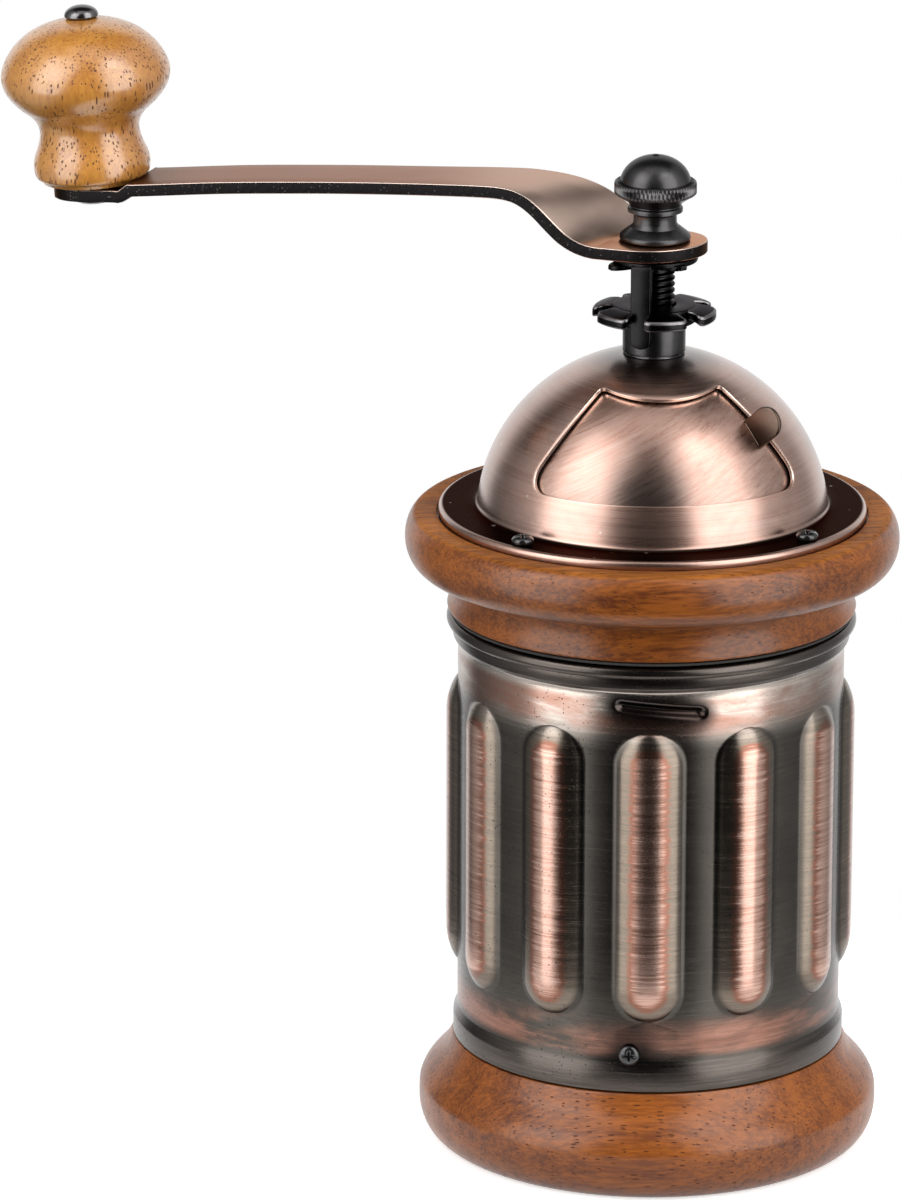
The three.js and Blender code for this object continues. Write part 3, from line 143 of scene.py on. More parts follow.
class MillStudio(PropertyGroup):
    """Light, floor and camera."""

    lens: FloatProperty(name="Lens", description="Focal length in millimetres", default=236.31)
    camera_distance: length("Camera distance", "Distance of the camera in front of the mill", 1.5)
    camera_height: length("Camera height", "Height of the camera over the floor", 0.559)
    camera_roll: angle("Camera roll", "Turn of the camera about its own axis", 0.58)
    left_power: watts("Left lamp", "Power of the left lamp in watts", 11.5)
    right_power: watts("Right lamp", "Power of the right lamp in watts", 13.5)
    top_power: watts("Top lamp", "Power of the lamp overhead in watts", 1.5)
    left_spot: watts("Left spot", "Power of the small left lamp in watts", 0.9)
    right_spot: watts("Right spot", "Power of the small right lamp in watts", 1.2)
    room_level: share("Room light", "Level of the light that comes from all round", 0.17)
    dark_level: share("Dark of the room", "Level that bright metal shows between the lamps", 0.025)
    side_level: share("Side glow", "Level that bright metal shows beside and behind the lamps", 0.45)
    floor_radius: length("Floor radius", "Radius of the pale floor", 0.14)


def sizes():
    return bpy.context.scene.mill_sizes


def finishes():
    return bpy.context.scene.mill_finishes


def mm(metres):
    return metres / MM


# Profiles


def arc(centre, radii, start, end, steps):
    """Points of an elliptical arc, from one angle in degrees to another."""
    points = []
    for i in range(steps + 1):
        turn = math.radians(start + (end - start) * i / steps)
        points.append((centre[0] + radii[0] * math.cos(turn), centre[1] + radii[1] * math.sin(turn)))
    return points


def softened(corners, steps=4):
    """A closed profile whose corners, given as (radius, height, rounding), are rounded off."""
    points = []
    for i, (radius, height, *rounding) in enumerate(corners):
        here = Vector((radius, height))
        if not rounding:
            points.append(tuple(here))
            continue
        before = Vector(corners[i - 1][:2]) - here
        after = Vector(corners[(i + 1) % len(corners)][:2]) - here
        start = here + before.normalized() * min(rounding[0], before.length / 2)
        end = here + after.normalized() * min(rounding[0], after.length / 2)
        for step in range(steps + 1):
            t = step / steps
            points.append(tuple(start.lerp(here, t).lerp(here.lerp(end, t), t)))
    return points


def through(points, steps=5):
    """Points of a smooth line through the given ones."""
    line = []
    for i in range(len(points) - 1):
        a, b = Vector(points[i]), Vector(points[i + 1])
        before = Vector(points[max(i - 1, 0)])
        after = Vector(points[min(i + 2, len(points) - 1)])
        out, into = (b - before) / 6, (after - a) / 6
        for step in range(steps):
            t = step / steps
            near = a * (1 - t) ** 3 + (a + out) * 3 * t * (1 - t) ** 2
            line.append(tuple(near + (b - into) * 3 * t**2 * (1 - t) + b * t**3))
    return line + [tuple(points[-1])]


# Mesh helpers


def draw(bm, profile, closed=True):
    """Draws a profile as a chain of edges in the plane that is spun about Z."""
    verts = [bm.verts.new((radius, 0, height)) for radius, height in profile]
    ends = verts[1:] + verts[:1] if closed else verts[1:]
    return verts + [bm.edges.new(pair) for pair in zip(verts, ends)]


def added(name, data):
    """A new object of the scene."""
    made = bpy.data.objects.new(name, data)
    bpy.context.scene.collection.objects.link(made)
    return made


def spun(profile, steps=144, closed=True):
    """A mesh turned about Z from a profile. A profile that starts on the axis ends on it too."""
    bm = bmesh.new()
    shape = draw(bm, profile, closed and profile[0][0] != 0)
    bmesh.ops.spin(
        bm, geom=shape, axis=(0, 0, 1), cent=(0, 0, 0), angle=math.tau, steps=steps, use_merge=True
    )
    bmesh.ops.remove_doubles(bm, verts=bm.verts, dist=1e-5)
    return bm


def joined(bm, other):
    """Adds one mesh to another and frees it."""
    mesh = bpy.data.meshes.new("joined")
    other.to_mesh(mesh)
    other.free()
    bm.from_mesh(mesh)
    bpy.data.meshes.remove(mesh)
    return bm


def turned(bm, *matrices):
    for matrix in matrices:
        bmesh.ops.transform(bm, matrix=matrix, verts=bm.verts)
    return bm


def bevelled(bm, offset, segments=3, above=30, edges=None):
    """Rounds the edges that are sharper than an angle and returns the new faces."""
    if edges is None:
        edges = [e for e in bm.edges if e.is_manifold and e.calc_face_angle(0) > math.radians(above)]
    return bmesh.ops.bevel(
        bm,
        geom=edges,
        offset=offset,
        segments=segments,
        profile=0.5,
        affect="EDGES",
        material=-1,
        clamp_overlap=True,
    )["faces"]


def box_between(low, high):
    bm = bmesh.new()
    bmesh.ops.create_cube(bm, size=1)
    low, high = Vector(low), Vector(high)
    bmesh.ops.scale(bm, vec=high - low, verts=bm.verts)
    bmesh.ops.translate(bm, vec=(high + low) / 2, verts=bm.verts)
    return bm


def thickened(bm, vec):
    """Pulls the faces of a flat mesh out into a solid."""
    made = bmesh.ops.extrude_face_region(bm, geom=bm.faces[:])
    moved = [part for part in made["geom"] if isinstance(part, bmesh.types.BMVert)]
    bmesh.ops.translate(bm, vec=vec, verts=moved)


def sliced(bm, point, normal):
    """Cuts the faces of a mesh along a plane."""
    everything = bm.verts[:] + bm.edges[:] + bm.faces[:]
    bmesh.ops.bisect_plane(bm, geom=everything, plane_co=point, plane_no=normal)


def without(bm, unwanted):
    """Deletes the faces whose middles are unwanted."""
    cut = [face for face in bm.faces if unwanted(face.calc_center_median())]
    bmesh.ops.delete(bm, geom=cut, context="FACES")
    return bm


def outlined(profile):
    """A flat face with an outline in the plane that is spun about Z."""
    bm = bmesh.new()
    shape = draw(bm, profile)
    face = bm.faces.new([part for part in shape if isinstance(part, bmesh.types.BMVert)])
    return bm, [*shape, face]


def out_of(point):
    """Distance from the Z axis."""
    return math.hypot(point.x, point.y)


def about_z(degrees):
    return Matrix.Rotation(math.radians(degrees), 4, "Z")


def azimuth_of(point):
    """Degrees from the front towards +X."""
    return math.degrees(math.atan2(point.x, -point.y))


def settle(bm, name, body, materials, nodes, sharp=38):
    """Turns a mesh in millimetres into a finished piece that rides on a body."""
    bmesh.ops.scale(bm, vec=(MM, MM, MM), verts=bm.verts)
    bmesh.ops.recalc_face_normals(bm, faces=bm.faces)
    mesh = bpy.data.meshes.new(name)
    bm.to_mesh(mesh)
    bm.free()
    mesh.shade_smooth()
    mesh.set_sharp_from_angle(angle=math.radians(sharp))
    piece = added(name, mesh)
    for material in materials if isinstance(materials, (list, tuple)) else [materials]:
        mesh.materials.append(material)
    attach(piece, body)
    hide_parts(*nodes)
    return piece


def lathe(profile, steps, name, body, finish, node):
    """A piece that is turned from a profile and takes the place of one solid."""
    return settle(spun(profile, steps), name, body, finish_of(finish), [node])


def dress(node, material):
    """Gives a CAD node that stays in sight its material."""
    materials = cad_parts[node].data.materials
    materials.clear()
    materials.append(material)


# Node helpers


def fill(tree, node, inputs):
    """Gives the inputs of a node their values or links."""
    for socket, value in inputs.items():
        if isinstance(value, bpy.types.NodeSocket):
            tree.links.new(value, node.inputs[socket])
        else:
            node.inputs[socket].default_value = value
    return node


def place(tree, kind, inputs=None, **settings):
    """Adds a node, with its settings and with values or links for its inputs."""
    made = tree.nodes.new(kind)
    for name, value in settings.items():
        setattr(made, name, value)
    return fill(tree, made, inputs or {})


def cleared(owner):
    """The empty node tree of a material or a world."""
    owner.use_nodes = True
    owner.node_tree.nodes.clear()
    return owner.node_tree


def new_group(name, inputs, outputs):
    """A shader node group with named sockets: its tree, what it is given and its output node."""
    tree = bpy.data.node_groups.new(name, "ShaderNodeTree")
    for socket, kind, default in inputs:
        made = tree.interface.new_socket(socket, in_out="INPUT", socket_type=kind)
        if default is not None:
            made.default_value = default
    for socket, kind in outputs:
        tree.interface.new_socket(socket, in_out="OUTPUT", socket_type=kind)
    return tree, tree.nodes.new("NodeGroupInput").outputs, tree.nodes.new("NodeGroupOutput")


def use(tree, group, inputs):
    """Adds a shared group and returns its outputs."""
    return place(tree, "ShaderNodeGroup", inputs, node_tree=bpy.data.node_groups[group]).outputs


def rgba(value):
    """A colour with its alpha, or the socket that gives a colour."""
    return value if isinstance(value, bpy.types.NodeSocket) else (*value[:3], 1)


def scaled_by(factor, values):
    return [value * factor for value in values]


def mixed(tree, factor, first, second, blend="MIX"):
    """One colour mixed into another."""
    inputs = {0: factor, 6: rgba(first), 7: rgba(second)}
    return place(tree, "ShaderNodeMix", inputs, data_type="RGBA", blend_type=blend).outputs[2]


def layered(tree, base, *layers):
    """A colour with others laid over it in turn, each through its mask."""
    for mask, over in layers:
        base = mixed(tree, mask, base, over)
    return base


def blended(tree, factor, first, second):
    """One number mixed into another."""
    return place(tree, "ShaderNodeMix", {0: factor, 2: first, 3: second}, data_type="FLOAT").outputs[0]


def maths(tree, operation, *values, clamp=False):
    inputs = dict(enumerate(values))
    return place(tree, "ShaderNodeMath", inputs, operation=operation, use_clamp=clamp).outputs[0]


def times(tree, first, second, clamp=False):
    return maths(tree, "MULTIPLY", first, second, clamp=clamp)


def plus(tree, first, second, clamp=False):
    return maths(tree, "ADD", first, second, clamp=clamp)


def minus(tree, first, second):
    return maths(tree, "SUBTRACT", first, second)


def most(tree, first, second):
    return maths(tree, "MAXIMUM", first, second)


def lifted(tree, value, factor, offset):
    """A value times a factor, plus an offset."""
    return maths(tree, "MULTIPLY_ADD", value, factor, offset)


def ranged(tree, value, low, high, to_low=0.0, to_high=1.0, smooth=True):
    """A value taken from one range into another."""
    inputs = {"Value": value, "From Min": low, "From Max": high, "To Min": to_low, "To Max": to_high}
    kind = "SMOOTHSTEP" if smooth else "LINEAR"
    return place(tree, "ShaderNodeMapRange", inputs, interpolation_type=kind).outputs[0]


def mapped(tree, vector, scale=(1, 1, 1), rotation=(0, 0, 0), location=(0, 0, 0)):
    turn = [math.radians(degrees) for degrees in rotation]
    inputs = {"Vector": vector, "Scale": scale, "Rotation": turn, "Location": location}
    return place(tree, "ShaderNodeMapping", inputs).outputs[0]


def separated(tree, vector):
    return place(tree, "ShaderNodeSeparateXYZ", {0: vector}).outputs


def attribute(tree, name):
    return place(tree, "ShaderNodeAttribute", attribute_name=name).outputs["Fac"]


def noise(tree, vector, scale, detail, **more):
    """The value of a noise texture. Its further inputs go by their names."""
    inputs = {"Vector": vector, "Scale": scale, "Detail": detail, **more}
    return place(tree, "ShaderNodeTexNoise", inputs).outputs[0]


def dots(tree, vector, scale, amount, spread, smallest):
    """Round dots in the middle of some cells of a random grid. The amount is the share of cells."""
    cells = place(tree, "ShaderNodeTexVoronoi", {"Vector": vector, "Scale": scale}, feature="F1").outputs
    chance = place(tree, "ShaderNodeSeparateColor", {0: cells["Color"]}).outputs
    chosen = maths(tree, "LESS_THAN", chance[0], amount)
    size = lifted(tree, chance[1], spread, smallest)
    return times(tree, chosen, maths(tree, "LESS_THAN", cells["Distance"], size))


# Shared effects


def make_grain_group():
    """Turned wood whose grain runs along X: growth rings, fibres and open pores."""
    tree, given, result = new_group(
        "Wood grain",
        [
            ("Vector", "NodeSocketVector", None),
            ("Light", "NodeSocketColor", (0.5, 0.25, 0.1, 1)),
            ("Dark", "NodeSocketColor", (0.2, 0.08, 0.03, 1)),
            ("Pore", "NodeSocketColor", (0.05, 0.02, 0.01, 1)),
            ("Pore Amount", "NodeSocketFloat", 0.5),
            ("Ring Scale", "NodeSocketFloat", 45.0),
            ("Pore Scale", "NodeSocketFloat", 1.0),
        ],
        [("Color", "NodeSocketColor"), ("Height", "NodeSocketFloat"), ("Pores", "NodeSocketFloat")],
    )
    vector = given["Vector"]
    rings = place(
        tree,
        "ShaderNodeTexWave",
        {
            "Vector": mapped(tree, vector, (0.12, 1, 1), location=(0, 0.055, -0.02)),
            "Scale": given["Ring Scale"],
            "Distortion": 7.0,
            "Detail": 3.0,
            "Detail Scale": 0.35,
            "Detail Roughness": 0.6,
        },
        wave_type="RINGS",
        rings_direction="X",
    )
    drift = noise(tree, mapped(tree, vector, (14, 45, 45)), 1, 3)
    fibre = noise(tree, mapped(tree, vector, (150, 1700, 1700)), 1, 4, Roughness=0.65)
    flecks = noise(tree, mapped(tree, vector, (70, 480, 480)), 1, 2)
    sparse = noise(tree, mapped(tree, vector, (90, 300, 300)), 1, 2)
    fibre_share = ranged(tree, fibre, 0.38, 0.64, 0, 0.5)
    streaky = plus(tree, fibre_share, ranged(tree, flecks, 0.38, 0.6, -0.08, 0.16))
    ringed = plus(tree, times(tree, rings.outputs["Fac"], 0.24), streaky)
    depth = plus(tree, ringed, ranged(tree, drift, 0.3, 0.7, 0, 0.36), clamp=True)
    share_open = times(tree, given["Pore Amount"], ranged(tree, sparse, 0.3, 0.6, 0.3, 1))
    long_cells = mapped(tree, vector, (520, 2600, 2600))
    pores = dots(tree, long_cells, given["Pore Scale"], share_open, 0.14, 0.2)
    grain = mixed(tree, depth, given["Dark"], given["Light"])
    fill(
        tree,
        result,
        {
            "Color": mixed(tree, times(tree, pores, 0.85), grain, given["Pore"]),
            "Height": minus(tree, times(tree, fibre, 0.5), pores),
            "Pores": pores,
        },
    )


def make_brush_group():
    """Fine brushed lines in a metal. The vector is stretched so that they run where it changes slowly."""
    tree, given, result = new_group(
        "Brushed lines",
        [("Vector", "NodeSocketVector", None), ("Contrast", "NodeSocketFloat", 0.5)],
        [("Lines", "NodeSocketFloat"), ("Height", "NodeSocketFloat")],
    )
    fine = noise(tree, given["Vector"], 1, 4, Roughness=0.75)
    broad = noise(tree, mapped(tree, given["Vector"], (0.35, 0.35, 0.35)), 1, 3)
    both = times(tree, plus(tree, fine, broad), 0.5)
    centred = times(tree, minus(tree, both, 0.5), given["Contrast"])
    lines = plus(tree, times(tree, centred, 4), 0.5, clamp=True)
    fill(tree, result, {"Lines": lines, "Height": both})


def make_patina_group():
    """Cloudy patches of patina, with a soft edge."""
    tree, given, result = new_group(
        "Patina clouds",
        [
            ("Vector", "NodeSocketVector", None),
            ("Scale", "NodeSocketFloat", 60.0),
            ("Cover", "NodeSocketFloat", 0.5),
            ("Softness", "NodeSocketFloat", 0.12),
        ],
        [("Mask", "NodeSocketFloat")],
    )
    clouds = noise(tree, given["Vector"], given["Scale"], 5, Roughness=0.62, Distortion=0.3)
    bound = minus(tree, 1.0, given["Cover"])
    low, high = minus(tree, bound, given["Softness"]), plus(tree, bound, given["Softness"])
    fill(tree, result, {"Mask": ranged(tree, clouds, low, high)})


def make_specks_group():
    """Small round specks or pits, a few of them bigger than the rest."""
    tree, given, result = new_group(
        "Specks",
        [
            ("Vector", "NodeSocketVector", None),
            ("Scale", "NodeSocketFloat", 1500.0),
            ("Amount", "NodeSocketFloat", 0.1),
        ],
        [("Mask", "NodeSocketFloat")],
    )
    fill(tree, result, {"Mask": dots(tree, given["Vector"], given["Scale"], given["Amount"], 0.38, 0)})


def brushed(tree, vector, contrast):
    """Brushed lines as a mask, and their height."""
    made = use(tree, "Brushed lines", {"Vector": vector, "Contrast": contrast})
    return made["Lines"], made["Height"]


def clouded(tree, vector, scale, cover, softness):
    inputs = {"Vector": vector, "Scale": scale, "Cover": cover, "Softness": softness}
    return use(tree, "Patina clouds", inputs)["Mask"]


def speckled(tree, vector, scale, amount):
    return use(tree, "Specks", {"Vector": vector, "Scale": scale, "Amount": amount})["Mask"]


# Materials


def new_material(name):
    """An empty material: its tree, its Principled BSDF and its object coordinates."""
    tree = cleared(bpy.data.materials.new(name))
    shader = tree.nodes.new("ShaderNodeBsdfPrincipled")
    place(tree, "ShaderNodeOutputMaterial", {"Surface": shader.outputs[0]})
    return tree, shader, tree.nodes.new("ShaderNodeTexCoord").outputs["Object"]


def bump(tree, shader, height, distance, strength=0.5):
    made = place(tree, "ShaderNodeBump", {"Height": height, "Distance": distance, "Strength": strength})
    fill(tree, shader, {"Normal": made.outputs[0]})


def lacquer(tree, shader, weight, roughness=0.24, ior=1.85):
    """A clear coat that whitens what the metal under it reflects."""
    fill(tree, shader, {"Coat Weight": weight, "Coat Roughness": roughness, "Coat IOR": ior})


def wood(name, light, dark, pores, rotation, location=(0, 0, 0), ring_scale=45.0, pore_scale=1.0,
         roughness=0.34, top=None, gloss=0.2, coat=1.6):
    """Varnished wood with its grain along X, or along the axis that the rotation gives. A top is a
    pair of heights, between which the wood turns lighter."""
    tree, shader, coordinates = new_material(name)
    grain = use(
        tree,
        "Wood grain",
        {
            "Vector": mapped(tree, coordinates, rotation=rotation, location=location),
            "Light": rgba(light),
            "Dark": rgba(dark),
            "Pore": rgba(finishes().pore),
            "Pore Amount": pores,
            "Ring Scale": ring_scale,
            "Pore Scale": pore_scale,
        },
    )
    base, rough = grain["Color"], lifted(tree, grain["Pores"], 0.2, roughness)
    shine = times(tree, minus(tree, 1.0, grain["Pores"]), gloss)
    if top:
        on_top = ranged(tree, separated(tree, coordinates)[2], *top)
        golden = mixed(tree, 1.0, base, (1.3, 1.45, 1.05), blend="MULTIPLY")
        base = mixed(tree, on_top, base, golden)
        rough = lifted(tree, on_top, 0.3, rough)
        shine = times(tree, shine, lifted(tree, on_top, -0.8, 1.0))
    fill(tree, shader, {"Base Color": base, "Roughness": rough, "Specular IOR Level": gloss})
    peel = noise(tree, coordinates, 900, 2)
    bump(tree, shader, lifted(tree, peel, 0.6, grain["Height"]), 0.00006, 0.6)
    lacquer(tree, shader, times(tree, shine, 1.6), 0.22, coat)


def can_metal():
    """Dark bronzed plating, rubbed through to copper on the crests and in patches near the rims."""
    tree, shader, coordinates = new_material("Bronzed steel")
    tone = finishes()
    lines, ridges = brushed(tree, mapped(tree, coordinates, (190, 190, 5200)), 0.7)
    raised, smoke = attribute(tree, "raised"), attribute(tree, "smoke")
    across, _, height = separated(tree, coordinates)
    streaks = minus(tree, lines, 0.5)
    worn = lifted(tree, streaks, 0.8, 1.0)
    patches = clouded(tree, mapped(tree, coordinates, (1, 1, 3.2)), 42, 0.53, 0.14)
    foot = times(tree, ranged(tree, height, 0.0272, 0.0295), ranged(tree, height, 0.037, 0.0315))
    top = times(tree, ranged(tree, height, 0.103, 0.101), ranged(tree, height, 0.093, 0.0975))
    patched = times(tree, times(tree, plus(tree, foot, top, clamp=True), patches), 0.8)
    uneven_crest = lifted(tree, streaks, 0.16, raised)
    crest = ranged(tree, uneven_crest, 0.72, 0.94)
    reddish = most(tree, ranged(tree, uneven_crest, 0.56, 0.8), patched)
    haze = clouded(tree, coordinates, 45, 0.5, 0.3)
    grey = times(tree, lifted(tree, haze, 0.5, 0.1), worn, clamp=True)
    shoulder = times(tree, ranged(tree, raised, 0.05, 0.45), worn)
    under_rim = times(tree, ranged(tree, height, 0.091, 0.101), worn)
    rubbed = times(tree, most(tree, crest, times(tree, patched, 0.3)), worn)
    rim, foot_band = ranged(tree, height, 0.1031, 0.1036), ranged(tree, height, 0.0272, 0.0268)
    band = plus(tree, rim, foot_band, clamp=True)
    uneven = clouded(tree, coordinates, 110, 0.5, 0.1)
    share_left = times(tree, ranged(tree, across, 0.004, -0.022), lifted(tree, uneven, 0.7, 0.3))
    pitted = times(tree, speckled(tree, coordinates, 2300, 0.3), most(tree, share_left, 0.12))
    base = layered(
        tree,
        tone.patina,
        (grey, tone.olive),
        (times(tree, shoulder, 0.7), (0.2, 0.16, 0.125)),
        (times(tree, under_rim, 0.85), (0.6, 0.53, 0.47)),
        (times(tree, reddish, worn, clamp=True), (0.2, 0.078, 0.05)),
        (maths(tree, "MINIMUM", rubbed, 1.0), mixed(tree, lines, tone.copper, tone.pale_copper)),
        (band, mixed(tree, lines, (0.04, 0.034, 0.03), (0.1, 0.083, 0.073))),
        (times(tree, smoke, 0.9), (0.006, 0.005, 0.005)),
        (pitted, (0.006, 0.005, 0.004)),
    )
    rough = lifted(tree, pitted, 0.4, lifted(tree, lines, 0.1, 0.19))
    fill(tree, shader, {"Base Color": base, "Metallic": 1, "Roughness": rough})
    lacquer(tree, shader, lifted(tree, crest, 0.4, 0.08))
    bump(tree, shader, minus(tree, ridges, times(tree, pitted, 0.6)), 0.00003, 0.6)


def dome_metal():
    """Antique copper, brushed round the axis, smoky at the crown, with a dark flange."""
    tree, shader, coordinates = new_material("Antique copper")
    tone = finishes()
    across, away, height = separated(tree, coordinates)
    squares = plus(tree, maths(tree, "POWER", across, 2.0), maths(tree, "POWER", away, 2.0))
    out = maths(tree, "SQRT", squares)
    polar = maths(tree, "ARCTAN2", out, minus(tree, height, DOME_CENTRE * MM))
    stretched = {0: times(tree, across, 50.0), 1: times(tree, away, 50.0), 2: times(tree, polar, 170.0)}
    lines, ridges = brushed(tree, place(tree, "ShaderNodeCombineXYZ", stretched).outputs[0], 0.55)
    clouds = clouded(tree, mapped(tree, coordinates, (1, 1, 1.6)), 55, 0.42, 0.16)
    crown = ranged(tree, polar, 0.5, 0.22)
    smoky = most(tree, times(tree, crown, 0.85), times(tree, clouds, 0.35))
    inside_lip = minus(tree, 1.0, ranged(tree, out, 0.0414, 0.042))
    flat = times(tree, ranged(tree, height, 0.1316, 0.1312), inside_lip)
    specks = speckled(tree, coordinates, 900, 0.012)
    base = layered(
        tree,
        tone.copper,
        (lines, tone.pale_copper),
        (smoky, tone.patina),
        (flat, (0.03, 0.02, 0.016)),
        (times(tree, specks, 0.5), (0.8, 0.74, 0.7)),
    )
    rough, tint = lifted(tree, lines, 0.08, 0.24), mixed(tree, flat, (1, 1, 1), (0.4, 0.37, 0.36))
    fill(tree, shader, {"Base Color": base, "Metallic": 1, "Roughness": rough, "Specular Tint": tint})
    lacquer(tree, shader, lifted(tree, flat, -0.8, 0.8))
    bump(tree, shader, ridges, 0.00002, 0.4)


def edge_wear_and_highlight_metal():
    """Bright worn copper on the cut edges of the sheet, painted near white as well, to stand in for the
    highlight that the rounded edges catch.
    """
    tree, shader, coordinates = new_material("Edge wear and painted highlight")
    clouds = clouded(tree, coordinates, 260, 0.4, 0.2)
    # Painted highlight: the edge colour runs to near white, partly wear and partly the light that the edges
    # catch
    base = mixed(tree, times(tree, clouds, 0.5), (0.9, 0.78, 0.7), finishes().pale_copper)
    fill(tree, shader, {"Base Color": base, "Metallic": 1, "Roughness": 0.3})


def door_metal():
    """Copper brushed aslant, smoky towards its foot with patina clouds, and with a painted dark reflection
    down the middle of its lower part.
    """
    tree, shader, coordinates = new_material("Brushed door copper")
    tone = finishes()
    aslant = mapped(tree, mapped(tree, coordinates, rotation=(0, 27, 0)), (160, 900, 5200))
    lines, ridges = brushed(tree, aslant, 0.8)
    low = ranged(tree, separated(tree, coordinates)[2], 0.154, 0.14)
    across = separated(tree, mapped(tree, coordinates, location=(0.001, 0, 0)))[0]
    # Painted dark reflection: patina colour in a strip down the middle of the lower door, standing in for
    # the dark room that it reflects
    painted_dark_reflection = ranged(tree, maths(tree, "ABSOLUTE", across), 0.014, 0.002)
    clouds = clouded(tree, coordinates, 48, 0.55, 0.26)
    # Towards the foot: real patina clouds, and the painted dark reflection in the middle
    smoky = times(tree, low, most(tree, times(tree, clouds, 0.4), times(tree, painted_dark_reflection, 0.8)))
    base = layered(tree, tone.copper, (lines, tone.pale_copper), (smoky, tone.patina))
    rough = lifted(tree, lines, 0.1, 0.25)
    fill(tree, shader, {"Base Color": base, "Metallic": 1, "Roughness": rough})
    lacquer(tree, shader, 0.6, 0.26)
    bump(tree, shader, ridges, 0.00003, 0.6)


def arm_metal():
    """Smooth copper on the flats of the arm, with a painted highlight near the hub and painted shading on
    the flat below the crease, dark at the tip, with dark pitted sides and bright edges.
    """
    tree, shader, coordinates = new_material("Arm copper")
    side, worn = attribute(tree, "side"), attribute(tree, "worn")
    along, _, height = separated(tree, coordinates)
    clouds = clouded(tree, mapped(tree, coordinates, (0.5, 1, 1)), 70, 0.45, 0.22)
    speckle = speckled(tree, coordinates, 1700, 0.45)
    base = layered(
        tree,
        (0.31, 0.16, 0.115),
        (clouds, (0.41, 0.28, 0.23)),
        # Painted highlight: pale copper near the hub, where the slope catches light from behind
        (times(tree, ranged(tree, along, -0.048, -0.022), 0.75), (0.72, 0.55, 0.46)),
        # Painted shading: deeper orange on the flat below the crease, so that the crease shows as a change
        # of tone
        (ranged(tree, height, 0.1853, 0.1848), (0.62, 0.33, 0.2)),
        (times(tree, ranged(tree, along, -0.03, -0.095), 0.6), (0.2, 0.085, 0.062)),
        (times(tree, ranged(tree, along, -0.088, -0.106), 0.9), finishes().patina),
        (side, mixed(tree, speckle, (0.012, 0.011, 0.011), (0.055, 0.052, 0.05))),
        (times(tree, worn, 0.8), (0.62, 0.5, 0.44)),
    )
    rough = lifted(tree, side, 0.14, lifted(tree, clouds, 0.06, 0.3))
    tint = (0.8, 0.62, 0.53, 1)
    fill(tree, shader, {"Base Color": base, "Metallic": 1, "Roughness": rough, "Specular Tint": tint})
    lacquer(tree, shader, lifted(tree, side, -0.2, 0.2), 0.25)
    bump(tree, shader, times(tree, noise(tree, coordinates, 900, 3), side), 0.00012, 0.7)


def black_metal(name, roughness, gloss, depth, texture=0.00003, metallic=1.0):
    """Blackened steel under a thin film of oil, with faint pitting. The depth scales its colour."""
    tree, shader, coordinates = new_material(name)
    clouds = clouded(tree, coordinates, 220, 0.5, 0.25)
    specks = speckled(tree, coordinates, 2600, 0.05)
    dark = scaled_by(depth, finishes().oxide)
    pale_specks = (times(tree, specks, 0.35 * depth), (0.25, 0.24, 0.23))
    inputs = {
        "Base Color": layered(tree, dark, (clouds, scaled_by(1.8, dark)), pale_specks),
        "Metallic": metallic,
        "Specular Tint": (0.5, 0.49, 0.5, 1),
        "Roughness": lifted(tree, clouds, 0.08, roughness),
    }
    fill(tree, shader, inputs)
    lacquer(tree, shader, gloss, max(roughness - 0.08, 0.06), 1.65)
    bump(tree, shader, noise(tree, coordinates, 2400, 3), texture, 0.5)


def plain_metal(name, base_colour, roughness, grain, depth):
    """Pressed steel, cast iron or bronze, with a fine grain of a given depth."""
    tree, shader, coordinates = new_material(name)
    clouds = clouded(tree, coordinates, 90, 0.5, 0.3)
    base = mixed(tree, clouds, base_colour, scaled_by(0.7, base_colour))
    rough = lifted(tree, clouds, 0.1, roughness)
    fill(tree, shader, {"Base Color": base, "Metallic": 1, "Roughness": rough})
    bump(tree, shader, noise(tree, coordinates, grain, 4), depth, 0.5)


def fibre_board():
    """Matt dark fibre."""
    tree, shader, coordinates = new_material("Fibre")
    threads = noise(tree, mapped(tree, coordinates, (1, 1, 4)), 1500, 4)
    base = mixed(tree, threads, finishes().fibre, scaled_by(2.2, finishes().fibre))
    fill(tree, shader, {"Base Color": base, "Roughness": 0.85})
    bump(tree, shader, threads, 0.00008, 0.6)


# Roughness, gloss of the oil and depth of the colour of each blackened steel
BLACKS = {
    "Black oxide": (0.26, 0.08, 0.2),
    "Nut oxide": (0.32, 0.35, 0.6),
    "Worn oxide": (0.3, 0.3, 3.6),
    "Cap oxide": (0.32, 0.4, 0.75),
    "Knurled oxide": (0.3, 0.3, 1.7),
}


def make_materials():
    tone = finishes()
    make_grain_group()
    make_brush_group()
    make_patina_group()
    make_specks_group()
    wood("Base wood", tone.base_light, tone.base_dark, 0.4, rotation=(14, 0, 3), pore_scale=0.8)
    collar = {"rotation": (-12, 0, -6), "location": (0, 0.03, 0.1), "top": (0.1286, 0.1293)}
    wood("Collar wood", tone.collar_light, tone.collar_dark, 0.3, **collar)
    knob = {"rotation": (0, 90, 20), "ring_scale": 30.0, "pore_scale": 0.62}
    knob |= {"roughness": 0.3, "gloss": 0.5, "coat": 1.75}
    wood("Knob wood", tone.knob_light, tone.knob_dark, 0.95, **knob)
    can_metal()
    dome_metal()
    edge_wear_and_highlight_metal()
    door_metal()
    arm_metal()
    for name, values in BLACKS.items():
        black_metal(name, *values)
    black_metal("Rivet black", 0.22, 1.0, 2.0, texture=0.00001)
    black_metal("Glossy black", 0.12, 0.5, 0.2, texture=0.00001, metallic=0.0)
    plain_metal("Pressed steel", tone.steel, 0.28, 1600, 0.00001)
    plain_metal("Cast iron", tone.iron, 0.45, 2600, 0.00008)
    plain_metal("Tab bronze", (0.13, 0.09, 0.07), 0.26, 900, 0.00001)
    fibre_board()


def finish_of(name):
    return bpy.data.materials[name]


# Pieces


class Step:
    """Runs the build of a piece as an operator."""

    def execute(self, context):
        self.build(context)
        return {"FINISHED"}


